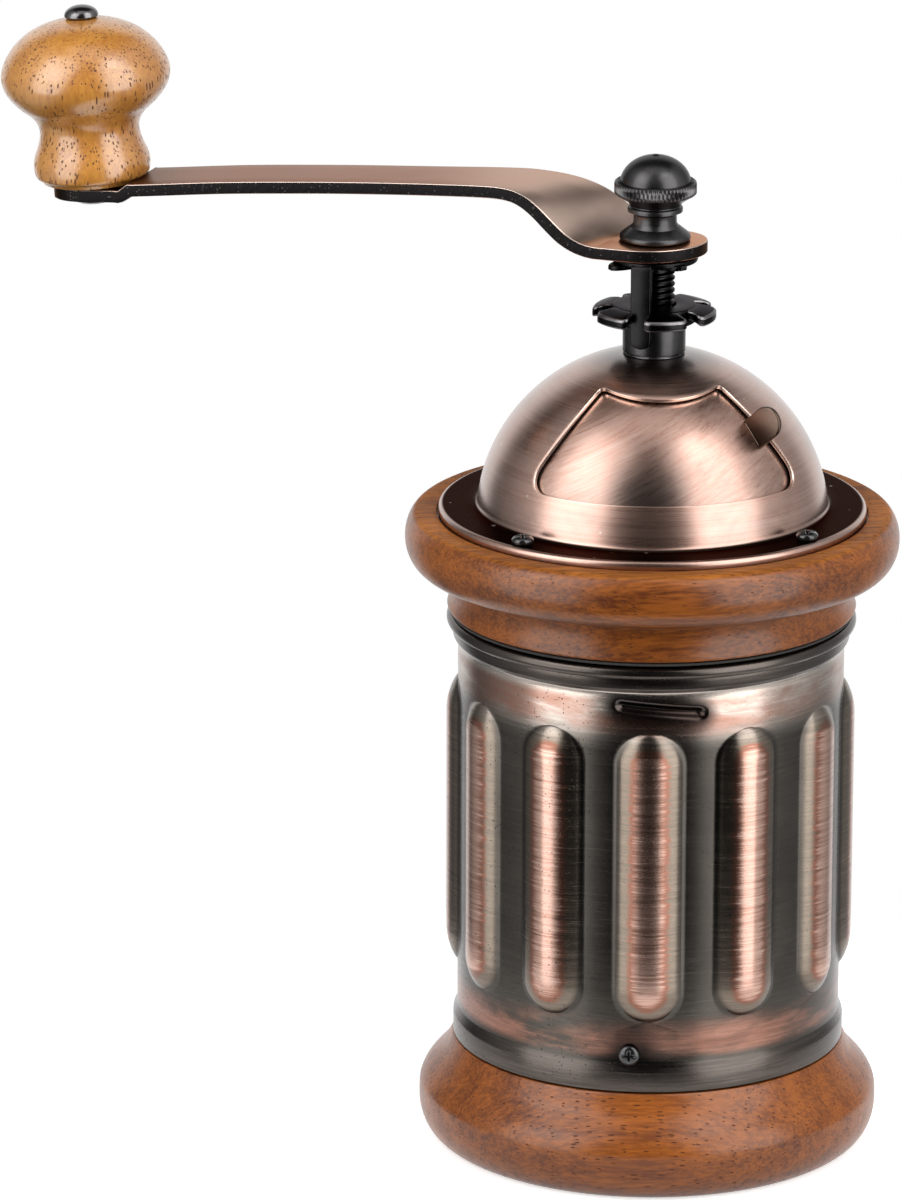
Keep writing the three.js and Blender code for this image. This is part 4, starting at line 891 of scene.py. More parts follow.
class MILL_OT_wood_base(Step, Operator):
    """Turned wooden base with its spigot"""

    bl_idname = "mill.wood_base"
    bl_label = "Wooden base"

    def build(self, context):
        foot, belly = mm(sizes().base_foot), mm(sizes().base_belly)
        shoulder = mm(sizes().can_radius) + 1
        reach = belly - shoulder
        upper = [(1, 7.2), (0.996, 9.2), (0.955, 10.9), (0.79, 12.9), (0.52, 14.9), (0.25, 17.0)]
        upper += [(0.08, 19.2), (0, 20.4)]
        profile = [
            (0, 0),
            *arc((foot, 7.2), (belly - foot, 7.2), -90, 0, 14)[:-1],
            *through([(shoulder + out * reach, height) for out, height in upper], 4),
            (shoulder - 0.3, 20.7), (37.4, 20.7), (37.4, 31.4), (36.6, 32.2), (33, 32.2),
            (31.5, 30.7), (0, 30.7),
        ]
        lathe(profile, ROUND_STEPS, "turned_base", "can", "Base wood", "wood_base")


# Pressed marks of the can: its ribs, and its locking beads as azimuths of their middles
RIB_LOW, RIB_HIGH = 35.5, 95.0
RIB_EDGE = 10.0
BEAD_HEIGHT, BEAD_FALL, BEAD_SPAN = 99.7, 1.4, 22.8
BEAD_REACH, BEAD_DEPTH = 1.55, 1.15
BEAD_MIDDLES = (3, 123, 243)
CAN_SCREW_AZIMUTH, CAN_SCREW_HEIGHT = -4.7, 28.7


def eased(value, low, high):
    """A smooth step from 0 at one value to 1 at another."""
    t = min(max((value - low) / (high - low), 0), 1)
    return t * t * (3 - 2 * t)


def from_nearest(azimuth, middles):
    """Degrees from the nearest of some azimuths."""
    return min(((azimuth - middle + 180) % 360 - 180 for middle in middles), key=abs)


def past_rib_centre(height):
    """How far a height is beyond the centres of the rounded ends of the ribs."""
    end = mm(sizes().rib_width) / 2
    return max(RIB_LOW + end - height, height - (RIB_HIGH - end), 0)


def pressed_place(azimuth, height):
    """Moves a point of a regular grid so that columns follow the ribs and rows follow the beads."""
    pitch, end = 360 / sizes().rib_count, mm(sizes().rib_width) / 2
    full = math.degrees(end / mm(sizes().can_radius))
    middle = pitch * round(azimuth / pitch)
    side = azimuth - middle
    past = past_rib_centre(height)
    half = max(full * math.sqrt(max(1 - (past / end) ** 2, 0)), full * 0.06)
    half += (full - half) * min(max(past - end, 0) / 2, 1)
    if abs(side) <= RIB_EDGE:
        moved = side / RIB_EDGE * half
    else:
        moved = half + (abs(side) - RIB_EDGE) / (pitch / 2 - RIB_EDGE) * (pitch / 2 - half)
        moved = math.copysign(moved, side)
    along = from_nearest(azimuth, BEAD_MIDDLES)
    slant = -along / BEAD_SPAN * BEAD_FALL * (1 - eased(abs(along), 14, 22))
    return middle + moved, height + slant * (1 - eased(abs(height - BEAD_HEIGHT), 1.7, 3.4))


def bead_distance(azimuth, height):
    along = from_nearest(azimuth, BEAD_MIDDLES)
    line = BEAD_HEIGHT - along / BEAD_SPAN * BEAD_FALL
    past = math.radians(max(abs(along) - BEAD_SPAN / 2, 0)) * mm(sizes().can_radius)
    return math.hypot(height - line, past)


def pressed_rise(azimuth, height):
    """How far the can wall stands out at a place: ribs out, locking beads in."""
    pitch, end = 360 / sizes().rib_count, mm(sizes().rib_width) / 2
    across = math.radians(azimuth - pitch * round(azimuth / pitch)) * mm(sizes().can_radius)
    out = math.hypot(across, past_rib_centre(height)) / end
    if out < 1:
        return mm(sizes().rib_height) * (1 - out**1.6) ** 0.75
    off = bead_distance(azimuth, height) / BEAD_REACH
    return -BEAD_DEPTH * (0.5 + 0.5 * math.cos(math.pi * off)) if off < 1 else 0


def soot(azimuth, height):
    """Smoky patina round the locking beads and the screw."""
    across = math.radians(azimuth - CAN_SCREW_AZIMUTH) * mm(sizes().can_radius)
    from_screw = math.hypot(across, (height - CAN_SCREW_HEIGHT) * 0.8)
    return max(1 - eased(bead_distance(azimuth, height), 1.2, 5), 1 - eased(from_screw, 2, 7.5))


class MILL_OT_grounds_can(Step, Operator):
    """Can with pressed ribs, locking beads, foot band and rolled rim"""

    bl_idname = "mill.grounds_can"
    bl_label = "Grounds can"

    def build(self, context):
        radius, wall, end = mm(sizes().can_radius), mm(sizes().can_wall), mm(sizes().rib_width) / 2
        ends = [end * math.sin(math.radians(turn)) for turn in range(0, 91, 9)]
        heights = [RIB_LOW - 2, RIB_LOW - 1, RIB_LOW - 0.4]
        heights += [RIB_LOW + end - past for past in reversed(ends)]
        heights += [RIB_LOW + end + (RIB_HIGH - RIB_LOW - 2 * end) * i / 12 for i in range(1, 12)]
        heights += [RIB_HIGH - end + past for past in ends]
        heights += [RIB_HIGH + 0.4, RIB_HIGH + 1, RIB_HIGH + 1.6]
        heights += [BEAD_HEIGHT + 0.26 * i for i in range(-10, 11)]
        outer = [
            (radius + 0.55, 21.0), (radius + 0.8, 21.25), (radius + 0.8, 25.1),
            (radius + 0.72, 25.45), (radius + 0.08, 26.9), (radius, 27.3), (radius, 30.0),
            *[(radius, height) for height in heights],
            (radius, 103.15), (radius + 0.12, 103.4), (radius + 0.88, 104.15), (radius + 1, 104.4),
            *arc((radius + 1, 107.7), (1.3, 1.3), -90, 90, 12),
            (radius - wall, 109.0),
        ]
        inner = [(radius - wall, height) for height in reversed(heights)]
        bm = spun([*outer, *inner, (radius - wall, 21.0)], 480)
        raised = bm.verts.layers.float.new("raised")
        smoke = bm.verts.layers.float.new("smoke")
        for vert in bm.verts:
            out = out_of(vert.co)
            if vert.co.z < 103.1 and out < radius + 0.05:
                azimuth, height = azimuth_of(vert.co), vert.co.z
                if height > 33:
                    azimuth, height = pressed_place(azimuth, height)
                rise = pressed_rise(azimuth, height)
                vert[raised] = max(rise / mm(sizes().rib_height), 0)
                vert[smoke] = soot(azimuth, height)
                turn = math.radians(azimuth)
                vert.co = Vector(((out + rise) * math.sin(turn), -(out + rise) * math.cos(turn), height))
        settle(bm, "ribbed_can", "can", finish_of("Bronzed steel"), ["grounds_can"], sharp=42)


def screw(head, height, shank, depth):
    """A domed screw with a cross recess. Its head's underside is at zero and its shank points down."""
    rings = [(0, height)]
    for i in range(1, 9):
        out = head * math.sin(math.radians(i * 10.5))
        rings.append((out, height * (0.28 + 0.72 * math.cos(math.radians(i * 10.5)))))
    profile = [
        *rings,
        (head, height * 0.2), (head * 0.96, 0), (shank, 0), (shank, -depth + shank), (0, -depth),
    ]
    bm = spun(profile, 48)
    for vert in bm.verts:
        out = out_of(vert.co)
        arm = min(abs(vert.co.x), abs(vert.co.y))
        if vert.co.z > height * 0.3 and out < head * 0.62:
            sink = max(0, 1 - arm / (head * 0.16)) * (1 - (out / (head * 0.62)) ** 4)
            vert.co.z -= height * 0.55 * sink
    return bm


def fit_screws(name, count, body, head, height, shank, depth, turn):
    """Screws at the places of their CAD nodes. The turn points a screw to where its head faces."""
    for i in range(count):
        node = f"{name}_{i + 1}"
        low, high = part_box(node)
        middle = (low + high) / 2 / MM
        made = screw(head, height, shank, depth)
        matrix = turn(middle)
        turned(made, about_z(31 * i), matrix)
        centre = matrix @ Vector((0, 0, (height - depth) / 2))
        bmesh.ops.translate(made, vec=middle - centre, verts=made.verts)
        settle(made, f"fitted_{node}", body, finish_of("Glossy black"), [node])


def head_up(middle):
    return Matrix.Identity(4)


def head_down(middle):
    return Matrix.Rotation(math.pi, 4, "X")


def head_out(middle):
    flat = Vector((middle.x, middle.y, 0)).normalized()
    return flat.to_track_quat("Z", "Y").to_matrix().to_4x4()


class MILL_OT_screws(Step, Operator):
    """Screws of the can, the flange, the locking ring and the burrs"""

    bl_idname = "mill.screws"
    bl_label = "Screws"

    def build(self, context):
        fit_screws("can_screw", 3, "can", 2.05, 1.2, 1.1, 9, head_out)
        fit_screws("dome_screw", 4, "mill", 2.2, 1.5, 1.1, 8, head_up)
        fit_screws("lock_ring_screw", 3, "mill", 1.6, 1.3, 1, 8, head_down)
        fit_screws("burr_screw", 3, "mill", 2.4, 1.8, 1.4, 10.5, head_down)


class MILL_OT_rim_washer(Step, Operator):
    """Fibre washer on the rim of the can"""

    bl_idname = "mill.rim_washer"
    bl_label = "Rim washer"

    def build(self, context):
        corners = [(38.0, 109.3, 0.1), (40.2, 109.3, 0.2), (40.2, 109.8, 0.2), (38.0, 109.8, 0.1)]
        profile = softened(corners)
        lathe(profile, ROUND_STEPS, "fibre_washer", "washer", "Fibre", "rim_washer")


class MILL_OT_wood_collar(Step, Operator):
    """Turned wooden collar with its rounded brim"""

    bl_idname = "mill.wood_collar"
    bl_label = "Wooden collar"

    def build(self, context):
        brim = mm(sizes().collar_brim)
        neck = [(40.6, 110.6), (40.0, 112.6), (39.9, 114.55), (40.15, 116.5), (40.7, 117.9)]
        profile = [
            (16.5, 110.1), (40.2, 110.1), (40.5, 110.25),
            *through([*neck, (42.0, 118.55)]),
            *arc((44.8, 124.3), (brim - 44.8, 5.8), -84, 0, 14),
            *arc((46.2, 124.3), (brim - 46.2, 5.1), 0, 90, 14)[1:],
            (43.0, 129.4), (42.75, 129.25), (42.7, 128.3), (41.2, 128.3), (41.2, 129.9),
            (37.1, 129.9), (37.1, 129.0), (34.3, 129.0), (31.8, 121.2), (16.5, 110.5),
        ]
        lathe(profile, ROUND_STEPS, "turned_collar", "mill", "Collar wood", "wood_collar")


# The filling opening in the dome, as half widths in azimuth and as angles down from the crown
OPENING_CENTRE = 6.5
OPENING_TOP, OPENING_FOOT = 29.0, 70.0
OPENING_DIP = 3.4
OPENING_COLUMNS = 49.5
WARP_END = 105.0
DOME_CENTRE = 127.5
CROWN_ANGLE, FOOT_ANGLE = 10.7, 78.0
# Half the width of the door, and the angle down from the crown where its ring ends
DOOR_HALF, DOOR_RING = 60, 21.0


def corner_inset(distance, radius):
    if distance >= radius:
        return 0
    return radius - math.sqrt(max(radius**2 - (radius - distance) ** 2, 0))


def opening_half(polar):
    """Half the width of the opening in degrees of azimuth, with its rounded corners."""
    radius = mm(sizes().dome_radius)
    down = min(max(polar, OPENING_TOP), OPENING_FOOT)
    part = (down - OPENING_TOP) / (OPENING_FOOT - OPENING_TOP)
    half = 43.8 + (56 - 43.8) * part**1.5
    inset = corner_inset(math.radians(down - OPENING_TOP) * radius, 1.0)
    inset += corner_inset(math.radians(OPENING_FOOT - down) * radius, 5.4)
    return half - math.degrees(inset / (radius * math.sin(math.radians(down))))


def warped(azimuth, polar):
    """Moves a regular grid of azimuths and polar angles so that lines of it follow the opening."""
    beyond = 0
    if polar < OPENING_TOP:
        beyond = (OPENING_TOP - polar) / (OPENING_TOP - CROWN_ANGLE)
    elif polar > OPENING_FOOT:
        beyond = (polar - OPENING_FOOT) / (FOOT_ANGLE - OPENING_FOOT)
    beyond = min(beyond, 1)
    half = opening_half(polar) * (1 - beyond) + OPENING_COLUMNS * beyond
    side = abs(azimuth)
    if side <= OPENING_COLUMNS:
        moved = side / OPENING_COLUMNS * half
        if polar < OPENING_TOP + 0.05:
            dip = OPENING_DIP * math.cos(math.radians(90 * side / OPENING_COLUMNS))
            polar += dip * max((polar - CROWN_ANGLE) / (OPENING_TOP - CROWN_ANGLE), 0)
    elif side < WARP_END:
        moved = half + (WARP_END - half) * (side - OPENING_COLUMNS) / (WARP_END - OPENING_COLUMNS)
    else:
        moved = side
    return math.copysign(moved, azimuth), polar


def on_dome(radius, azimuth, polar):
    out = radius * math.sin(math.radians(polar))
    turn = math.radians(azimuth)
    height = DOME_CENTRE + radius * math.cos(math.radians(polar))
    return Vector((out * math.sin(turn), -out * math.cos(turn), height))


def polar_of(point):
    return math.degrees(math.atan2(out_of(point), point.z - DOME_CENTRE))


def dome_rows():
    """Angles down from the crown, closer together at the corners of the opening."""
    rows = [CROWN_ANGLE + (OPENING_TOP - CROWN_ANGLE) * i / 12 for i in range(12)]
    rows += [OPENING_TOP + 1.637 * (1 - math.cos(math.radians(a))) for a in (0, 25, 50, 70, 90)]
    rows += [31.5 + (61.0 - 31.5) * i / 20 for i in range(20)]
    rows += [OPENING_FOOT - 8.84 * (1 - math.cos(math.radians(a))) for a in range(90, -1, -9)]
    return rows + [70.6, 71.4, 72.4, 73.6, 75.0, 76.4, 77.6]


def dome_profile(radius, rows):
    turns = [math.radians(polar) for polar in rows]
    return [(radius * math.sin(turn), DOME_CENTRE + radius * math.cos(turn)) for turn in turns]


class MILL_OT_dome_cover(Step, Operator):
    """Dome with its flat flange and filling opening"""

    bl_idname = "mill.dome_cover"
    bl_label = "Dome cover"

    def build(self, context):
        radius, flange = mm(sizes().dome_radius), mm(sizes().flange_radius)
        foot_radius, foot_height = math.sqrt(radius**2 - 4.6**2), 132.1
        profile = [
            (5.6, 161.89), (6.1, 161.89),
            *dome_profile(radius, dome_rows()),
            *arc((foot_radius + 1.1, foot_height), (1.1, 1.1), 180, 270, 5),
            (37.6, 131.0), (flange - 1.4, 131.0),
            *arc((flange - 0.9, 130.1), (0.9, 0.9), 90, 0, 6),
            (flange, 128.6),
        ]
        bm = without(
            spun(profile, FINE_STEPS, closed=False),
            lambda middle: abs(azimuth_of(middle)) < OPENING_COLUMNS
            and OPENING_TOP < polar_of(middle) < OPENING_FOOT,
        )
        for vert in bm.verts:
            polar = polar_of(vert.co)
            if CROWN_ANGLE - 0.01 < polar < FOOT_ANGLE and vert.co.z > foot_height + 0.01:
                vert.co = on_dome(radius, *warped(azimuth_of(vert.co), polar))
        turned(bm, about_z(OPENING_CENTRE))
        # The second material paints the cut edges: worn copper with a painted highlight
        materials = [finish_of("Antique copper"), finish_of("Edge wear and painted highlight")]
        dome = settle(bm, "copper_dome", "mill", materials, ["dome_cover"])
        shell(dome, 0.8, 0.14)


def shell(piece, wall, edge):
    """Gives a sheet its wall, inwards, with worn edges that also carry a painted highlight."""
    solid = piece.modifiers.new("Wall", "SOLIDIFY")
    solid.thickness = wall * MM
    solid.offset = -1
    solid.use_even_offset = True
    # The rim faces take the second material, worn copper with a painted highlight
    solid.material_offset_rim = 1
    bevel = piece.modifiers.new("Edge", "BEVEL")
    bevel.width = edge * MM
    bevel.segments = 2
    bevel.limit_method = "ANGLE"
    bevel.angle_limit = math.radians(60)


class MILL_OT_hopper_door(Step, Operator):
    """Sliding door under the dome, with its finger tab"""

    bl_idname = "mill.hopper_door"
    bl_label = "Hopper door"

    def build(self, context):
        radius = mm(sizes().dome_radius) - 1.3
        rows = [12.0 + 0.9 * i for i in range(11)] + [22.0 + 52.0 * i / 34 for i in range(35)]
        rows[10] = DOOR_RING
        bm = without(
            spun(dome_profile(radius, rows), FINE_STEPS, closed=False),
            lambda middle: abs(azimuth_of(middle)) > DOOR_HALF and polar_of(middle) > DOOR_RING,
        )
        turned(bm, about_z(OPENING_CENTRE))
        # The second material paints the cut edges: worn copper with a painted highlight
        materials = [finish_of("Brushed door copper"), finish_of("Edge wear and painted highlight")]
        leaf = settle(bm, "door_leaf", "door", materials, ["hopper_door"])
        shell(leaf, 0.6, 0.1)
        tab = box_between((-0.5, -3.2, radius - 0.3), (0.5, 3.2, radius + 7.8))
        outer = [
            e for e in tab.edges
            if all(v.co.z > radius + 7 for v in e.verts) and abs(e.verts[0].co.x - e.verts[1].co.x) > 0.5
        ]
        bevelled(tab, 3.15, 12, edges=outer)
        bevelled(tab, 0.28, 3, above=60)
        foot = box_between((-0.8, -2.6, radius - 0.1), (0.5, 2.6, radius + 0.4))
        bevelled(foot, 0.15, 2)
        joined(tab, foot)
        turned(tab, Matrix.Rotation(math.radians(49), 4, "X"), about_z(50.4))
        bmesh.ops.translate(tab, vec=(0, 0, DOME_CENTRE), verts=tab.verts)
        settle(tab, "door_tab", "door", finish_of("Tab bronze"), [])


class MILL_OT_bearing(Step, Operator):
    """Collar nut on top of the dome and the bush that it clamps"""

    bl_idname = "mill.bearing"
    bl_label = "Bearing"

    def build(self, context):
        nut = softened([(5.5, 162.19, 0.2), (6.2, 162.19, 0.3), (6.2, 167.89, 0.35), (5.5, 167.89, 0.2)])
        lathe(nut, 96, "collar_nut", "mill", "Nut oxide", "bearing_nut")
        bush = softened(
            [
                (4.3, 155.91, 0.2), (9.5, 155.91, 0.3), (9.5, 157.41, 0.3), (6.6, 157.41),
                (6.6, 160.79, 0.2), (5.2, 160.79), (5.2, 167.89, 0.15), (4.3, 167.89, 0.15),
            ]
        )
        lathe(bush, 96, "flanged_bush", "mill", "Pressed steel", "shaft_bush")


class MILL_OT_crank_shaft(Step, Operator):
    """Shaft with its adjusting thread, square drive and stud"""

    bl_idname = "mill.crank_shaft"
    bl_label = "Shaft"

    def build(self, context):
        profile = [
            (0, 81.2), (2.7, 81.2), (3, 81.5), (3, 88.7), (4, 88.7), (4, 111.3), (5.8, 111.3),
            (5.8, 113.3), (4, 113.3), (4, 168.6), (3.3, 169.3), (3.3, 179.39), (2.9, 179.39),
            (0, 179.39),
        ]
        bm = spun(profile, 64)
        joined(bm, thread(3.05, 4.0, mm(sizes().thread_pitch), 168.9, 178.9))
        drive = box_between((-2.7, -2.7, 179.0), (2.7, 2.7, 184.1))
        bevelled(drive, 0.3, 2)
        turned(drive, about_z(162))
        joined(bm, drive)
        joined(bm, spun([(0, 184.0), (3, 184.0), (3, 193.4), (2.5, 193.84), (0, 193.84)], 48))
        settle(bm, "threaded_shaft", "crank", finish_of("Black oxide"), ["crank_shaft"])


def thread(root, crest, pitch, low, high):
    """A ridge that winds up round the axis, closed at both ends."""
    turns = (high - low) / pitch - 1
    tooth = [(root, 0), (crest, 0.4), (crest, 0.55), (root, 0.95)]
    tooth = [(out, low + pitch * up) for out, up in tooth]
    bm, shape = outlined(tooth)
    steps = round(turns * 40)
    bmesh.ops.spin(
        bm,
        geom=shape,
        axis=(0, 0, 1),
        cent=(0, 0, 0),
        dvec=(0, 0, turns * pitch / steps),
        angle=math.tau * turns,
        steps=steps,
        use_merge=False,
    )
    bmesh.ops.remove_doubles(bm, verts=bm.verts, dist=1e-5)
    return bm


class MILL_OT_star_nut(Step, Operator):
    """Adjusting nut with six lobes that droop at their ends"""

    bl_idname = "mill.star_nut"
    bl_label = "Star nut"

    def build(self, context):
        reach = mm(sizes().star_radius)
        body = softened([(4.3, 168.3, 0.2), (8.3, 168.3, 0.4), (8.3, 171.69, 0.5), (4.3, 171.69, 0.3)])
        bm = spun(body, 96)
        for i in range(6):
            lobe = bmesh.new()
            bmesh.ops.create_grid(lobe, x_segments=12, y_segments=8, size=0.5)
            thickened(lobe, (0, 0, 1))
            for vert in lobe.verts:
                part = vert.co.x + 0.5
                out = 6.2 + (reach - 6.2) * part
                half = 0.577 * out - 1.75 - 0.5 * math.sin(math.pi * min(max((out - 8.2) / 4, 0), 1))
                half = min(half, 5.0) * math.sqrt(max(1 - max((out - 10.6) / 2.4, 0) ** 2, 0.2))
                across = vert.co.y * 2 * half
                bow = math.sqrt(reach**2 - across**2) / reach
                drop = 0.9 * max((out - 8.6) / (reach - 8.6), 0) ** 1.6
                thick = 2.3 - 0.35 * part
                vert.co = Vector((out * bow, across, 171.6 - thick * (1 - vert.co.z) - drop))
            bmesh.ops.recalc_face_normals(lobe, faces=lobe.faces)
            for face in bevelled(lobe, 0.45, 3, above=50):
                face.material_index = 1
            turned(lobe, about_z(FRONT + NOTCH + 30 + 60 * i))
            joined(bm, lobe)
        materials = [finish_of("Black oxide"), finish_of("Worn oxide")]
        settle(bm, "lobed_star_nut", "adjuster", materials, ["star_nut"])


class MILL_OT_lock_plate(Step, Operator):
    """Locking plate with its leg and two bent wings"""

    bl_idname = "mill.lock_plate"
    bl_label = "Locking plate"

    def build(self, context):
        disc = softened([(4.0, 180.5, 0.2), (8.5, 180.5, 0.4), (8.5, 181.64, 0.4), (4.0, 181.64, 0.2)])
        bm = spun(disc, 72)
        joined(bm, self.leg())
        joined(bm, self.wing(-62, 10.0, 5.0, 179.75, -0.35))
        joined(bm, self.wing(36, 9.6, 4.4, 179.8, 0.5))
        settle(bm, "bent_lock_plate", "crank", finish_of("Black oxide"), ["lock_plate"])

    def leg(self):
        """The strip that is bent down into a notch of the star nut."""
        outer_bend = arc((7.3, 180.05), (1.5, 1.5), 90, 0, 6)
        inner_bend = arc((6.8, 179.3), (0.4, 0.4), 0, 90, 3)
        outer = [(6.0, 181.55), (7.3, 181.55), *outer_bend[1:], (8.8, 164.34)]
        inner = [(7.2, 164.34), (7.2, 179.3), *inner_bend[1:], (6.0, 179.7)]
        bm, _ = outlined([*outer, *inner])
        thickened(bm, (0, 4.1, 0))
        bmesh.ops.translate(bm, vec=(0, -2.05, 0), verts=bm.verts)
        for height in (164.6, 164.9, 165.3, 165.8, 166.3):
            sliced(bm, (0, 0, height), (0, 0, 1))
        for vert in bm.verts:
            if vert.co.z < 166.4:
                up = (166.4 - vert.co.z) / 2.06
                vert.co.y *= math.sqrt(max(1 - up**2, 0.03)) * 0.5 + 0.5 * math.sqrt(max(1 - up**4, 0.01))
        bmesh.ops.recalc_face_normals(bm, faces=bm.faces)
        bevelled(bm, 0.28, 3, above=50)
        return turned(bm, about_z(FRONT + NOTCH))

    def wing(self, azimuth, reach, width, height, lift):
        """A tongue that stands out beside the leg, bent up by a lift at its end."""
        bm = bmesh.new()
        bmesh.ops.create_grid(bm, x_segments=10, y_segments=6, size=0.5)
        thickened(bm, (0, 0, 1))
        for vert in bm.verts:
            part = vert.co.x + 0.5
            out = 4.6 + (reach - 4.6) * part
            across = vert.co.y * width * math.sqrt(max(1 - part**3, 0.06))
            vert.co = Vector((out, across, height + 0.95 * vert.co.z + lift * part**2 * 0.9))
        bmesh.ops.recalc_face_normals(bm, faces=bm.faces)
        bevelled(bm, 0.25, 2, above=50)
        return turned(bm, about_z(FRONT + azimuth))


class MILL_OT_cap_nut(Step, Operator):
    """Cap nut with its knurled rim"""

    bl_idname = "mill.cap_nut"
    bl_label = "Cap nut"

    def build(self, context):
        seat, rim = 184.74, mm(sizes().cap_radius)
        outline = [
            (3.4, 0),
            *softened([(6.5, 0), (7.0, 0.2, 0.25), (7.0, 0.95, 0.4), (4.7, 2.75, 0.5)], 3),
            (4.35, 3.2), (4.25, 3.5), (4.25, 5.0), (4.4, 5.3),
            *softened([(5.4, 5.5, 0.3), (5.45, 6.5, 0.4), (5.0, 6.75, 0.15), (4.95, 7.1, 0.2)], 3),
            (5.5, 7.65), (6.5, 8.3), (7.25, 8.8), (rim - 0.35, 9.05), (rim, 9.35), (rim, 9.95),
            (rim, 10.55), (rim, 11.1), (rim - 0.08, 11.5), (rim - 0.35, 11.7), (rim - 0.65, 11.5),
            (rim - 0.9, 11.05), (rim - 1.02, 11.0),
            *arc((0, 11.0), (rim - 1.05, 5.85), 4, 84, 16),
            (0.7, 16.84), (0.45, 17.0), (0, 17.0),
        ]
        bore = [(0, 9.8), (3.4, 9.8)]
        bm = spun([*bore, *outline], FINE_STEPS)
        for vert in bm.verts:
            out = out_of(vert.co)
            if out > rim - 0.1 and 9.3 < vert.co.z < 11.2:
                wave = 0.5 + 0.5 * math.cos(60 * math.atan2(vert.co.y, vert.co.x))
                factor = 1 - 0.32 * wave / out
                vert.co.x *= factor
                vert.co.y *= factor
        for face in bm.faces:
            middle = face.calc_center_median()
            if out_of(middle) > rim - 0.5 and 9.2 < middle.z < 11.6:
                face.material_index = 1
        bmesh.ops.translate(bm, vec=(0, 0, seat), verts=bm.verts)
        materials = [finish_of("Cap oxide"), finish_of("Knurled oxide")]
        settle(bm, "knurled_cap_nut", "cap", materials, ["cap_nut"], sharp=45)


# Upper line of the arm: distance out in shares of its reach, height in shares of its rise
ARM_LINE = [
    (0.063, 0), (0.083, 0.155), (0.104, 0.32), (0.125, 0.52), (0.157, 0.745), (0.195, 0.925),
    (0.237, 0.995), (0.288, 0.985), (0.37, 0.93), (0.52, 0.817), (0.633, 0.716), (0.747, 0.6),
    (0.861, 0.452),
]
ARM_RISE, ARM_TIP_RISE, ARM_UNDER = 10.2, 2.0, 181.94
ARM_TURN, KNOB_TILT = 162.0, 3.8
ARM_SKEW, ARM_CREASE = 11.0, 30.0


def arm_place():
    return Matrix.Translation((0, 0, ARM_UNDER)) @ about_z(ARM_TURN)


def knob_place():
    rise = mm(sizes().arm_thickness) + ARM_TIP_RISE
    out = Matrix.Translation((mm(sizes().arm_reach), 0, rise))
    return arm_place() @ out @ Matrix.Rotation(math.radians(KNOB_TILT), 4, "Y")


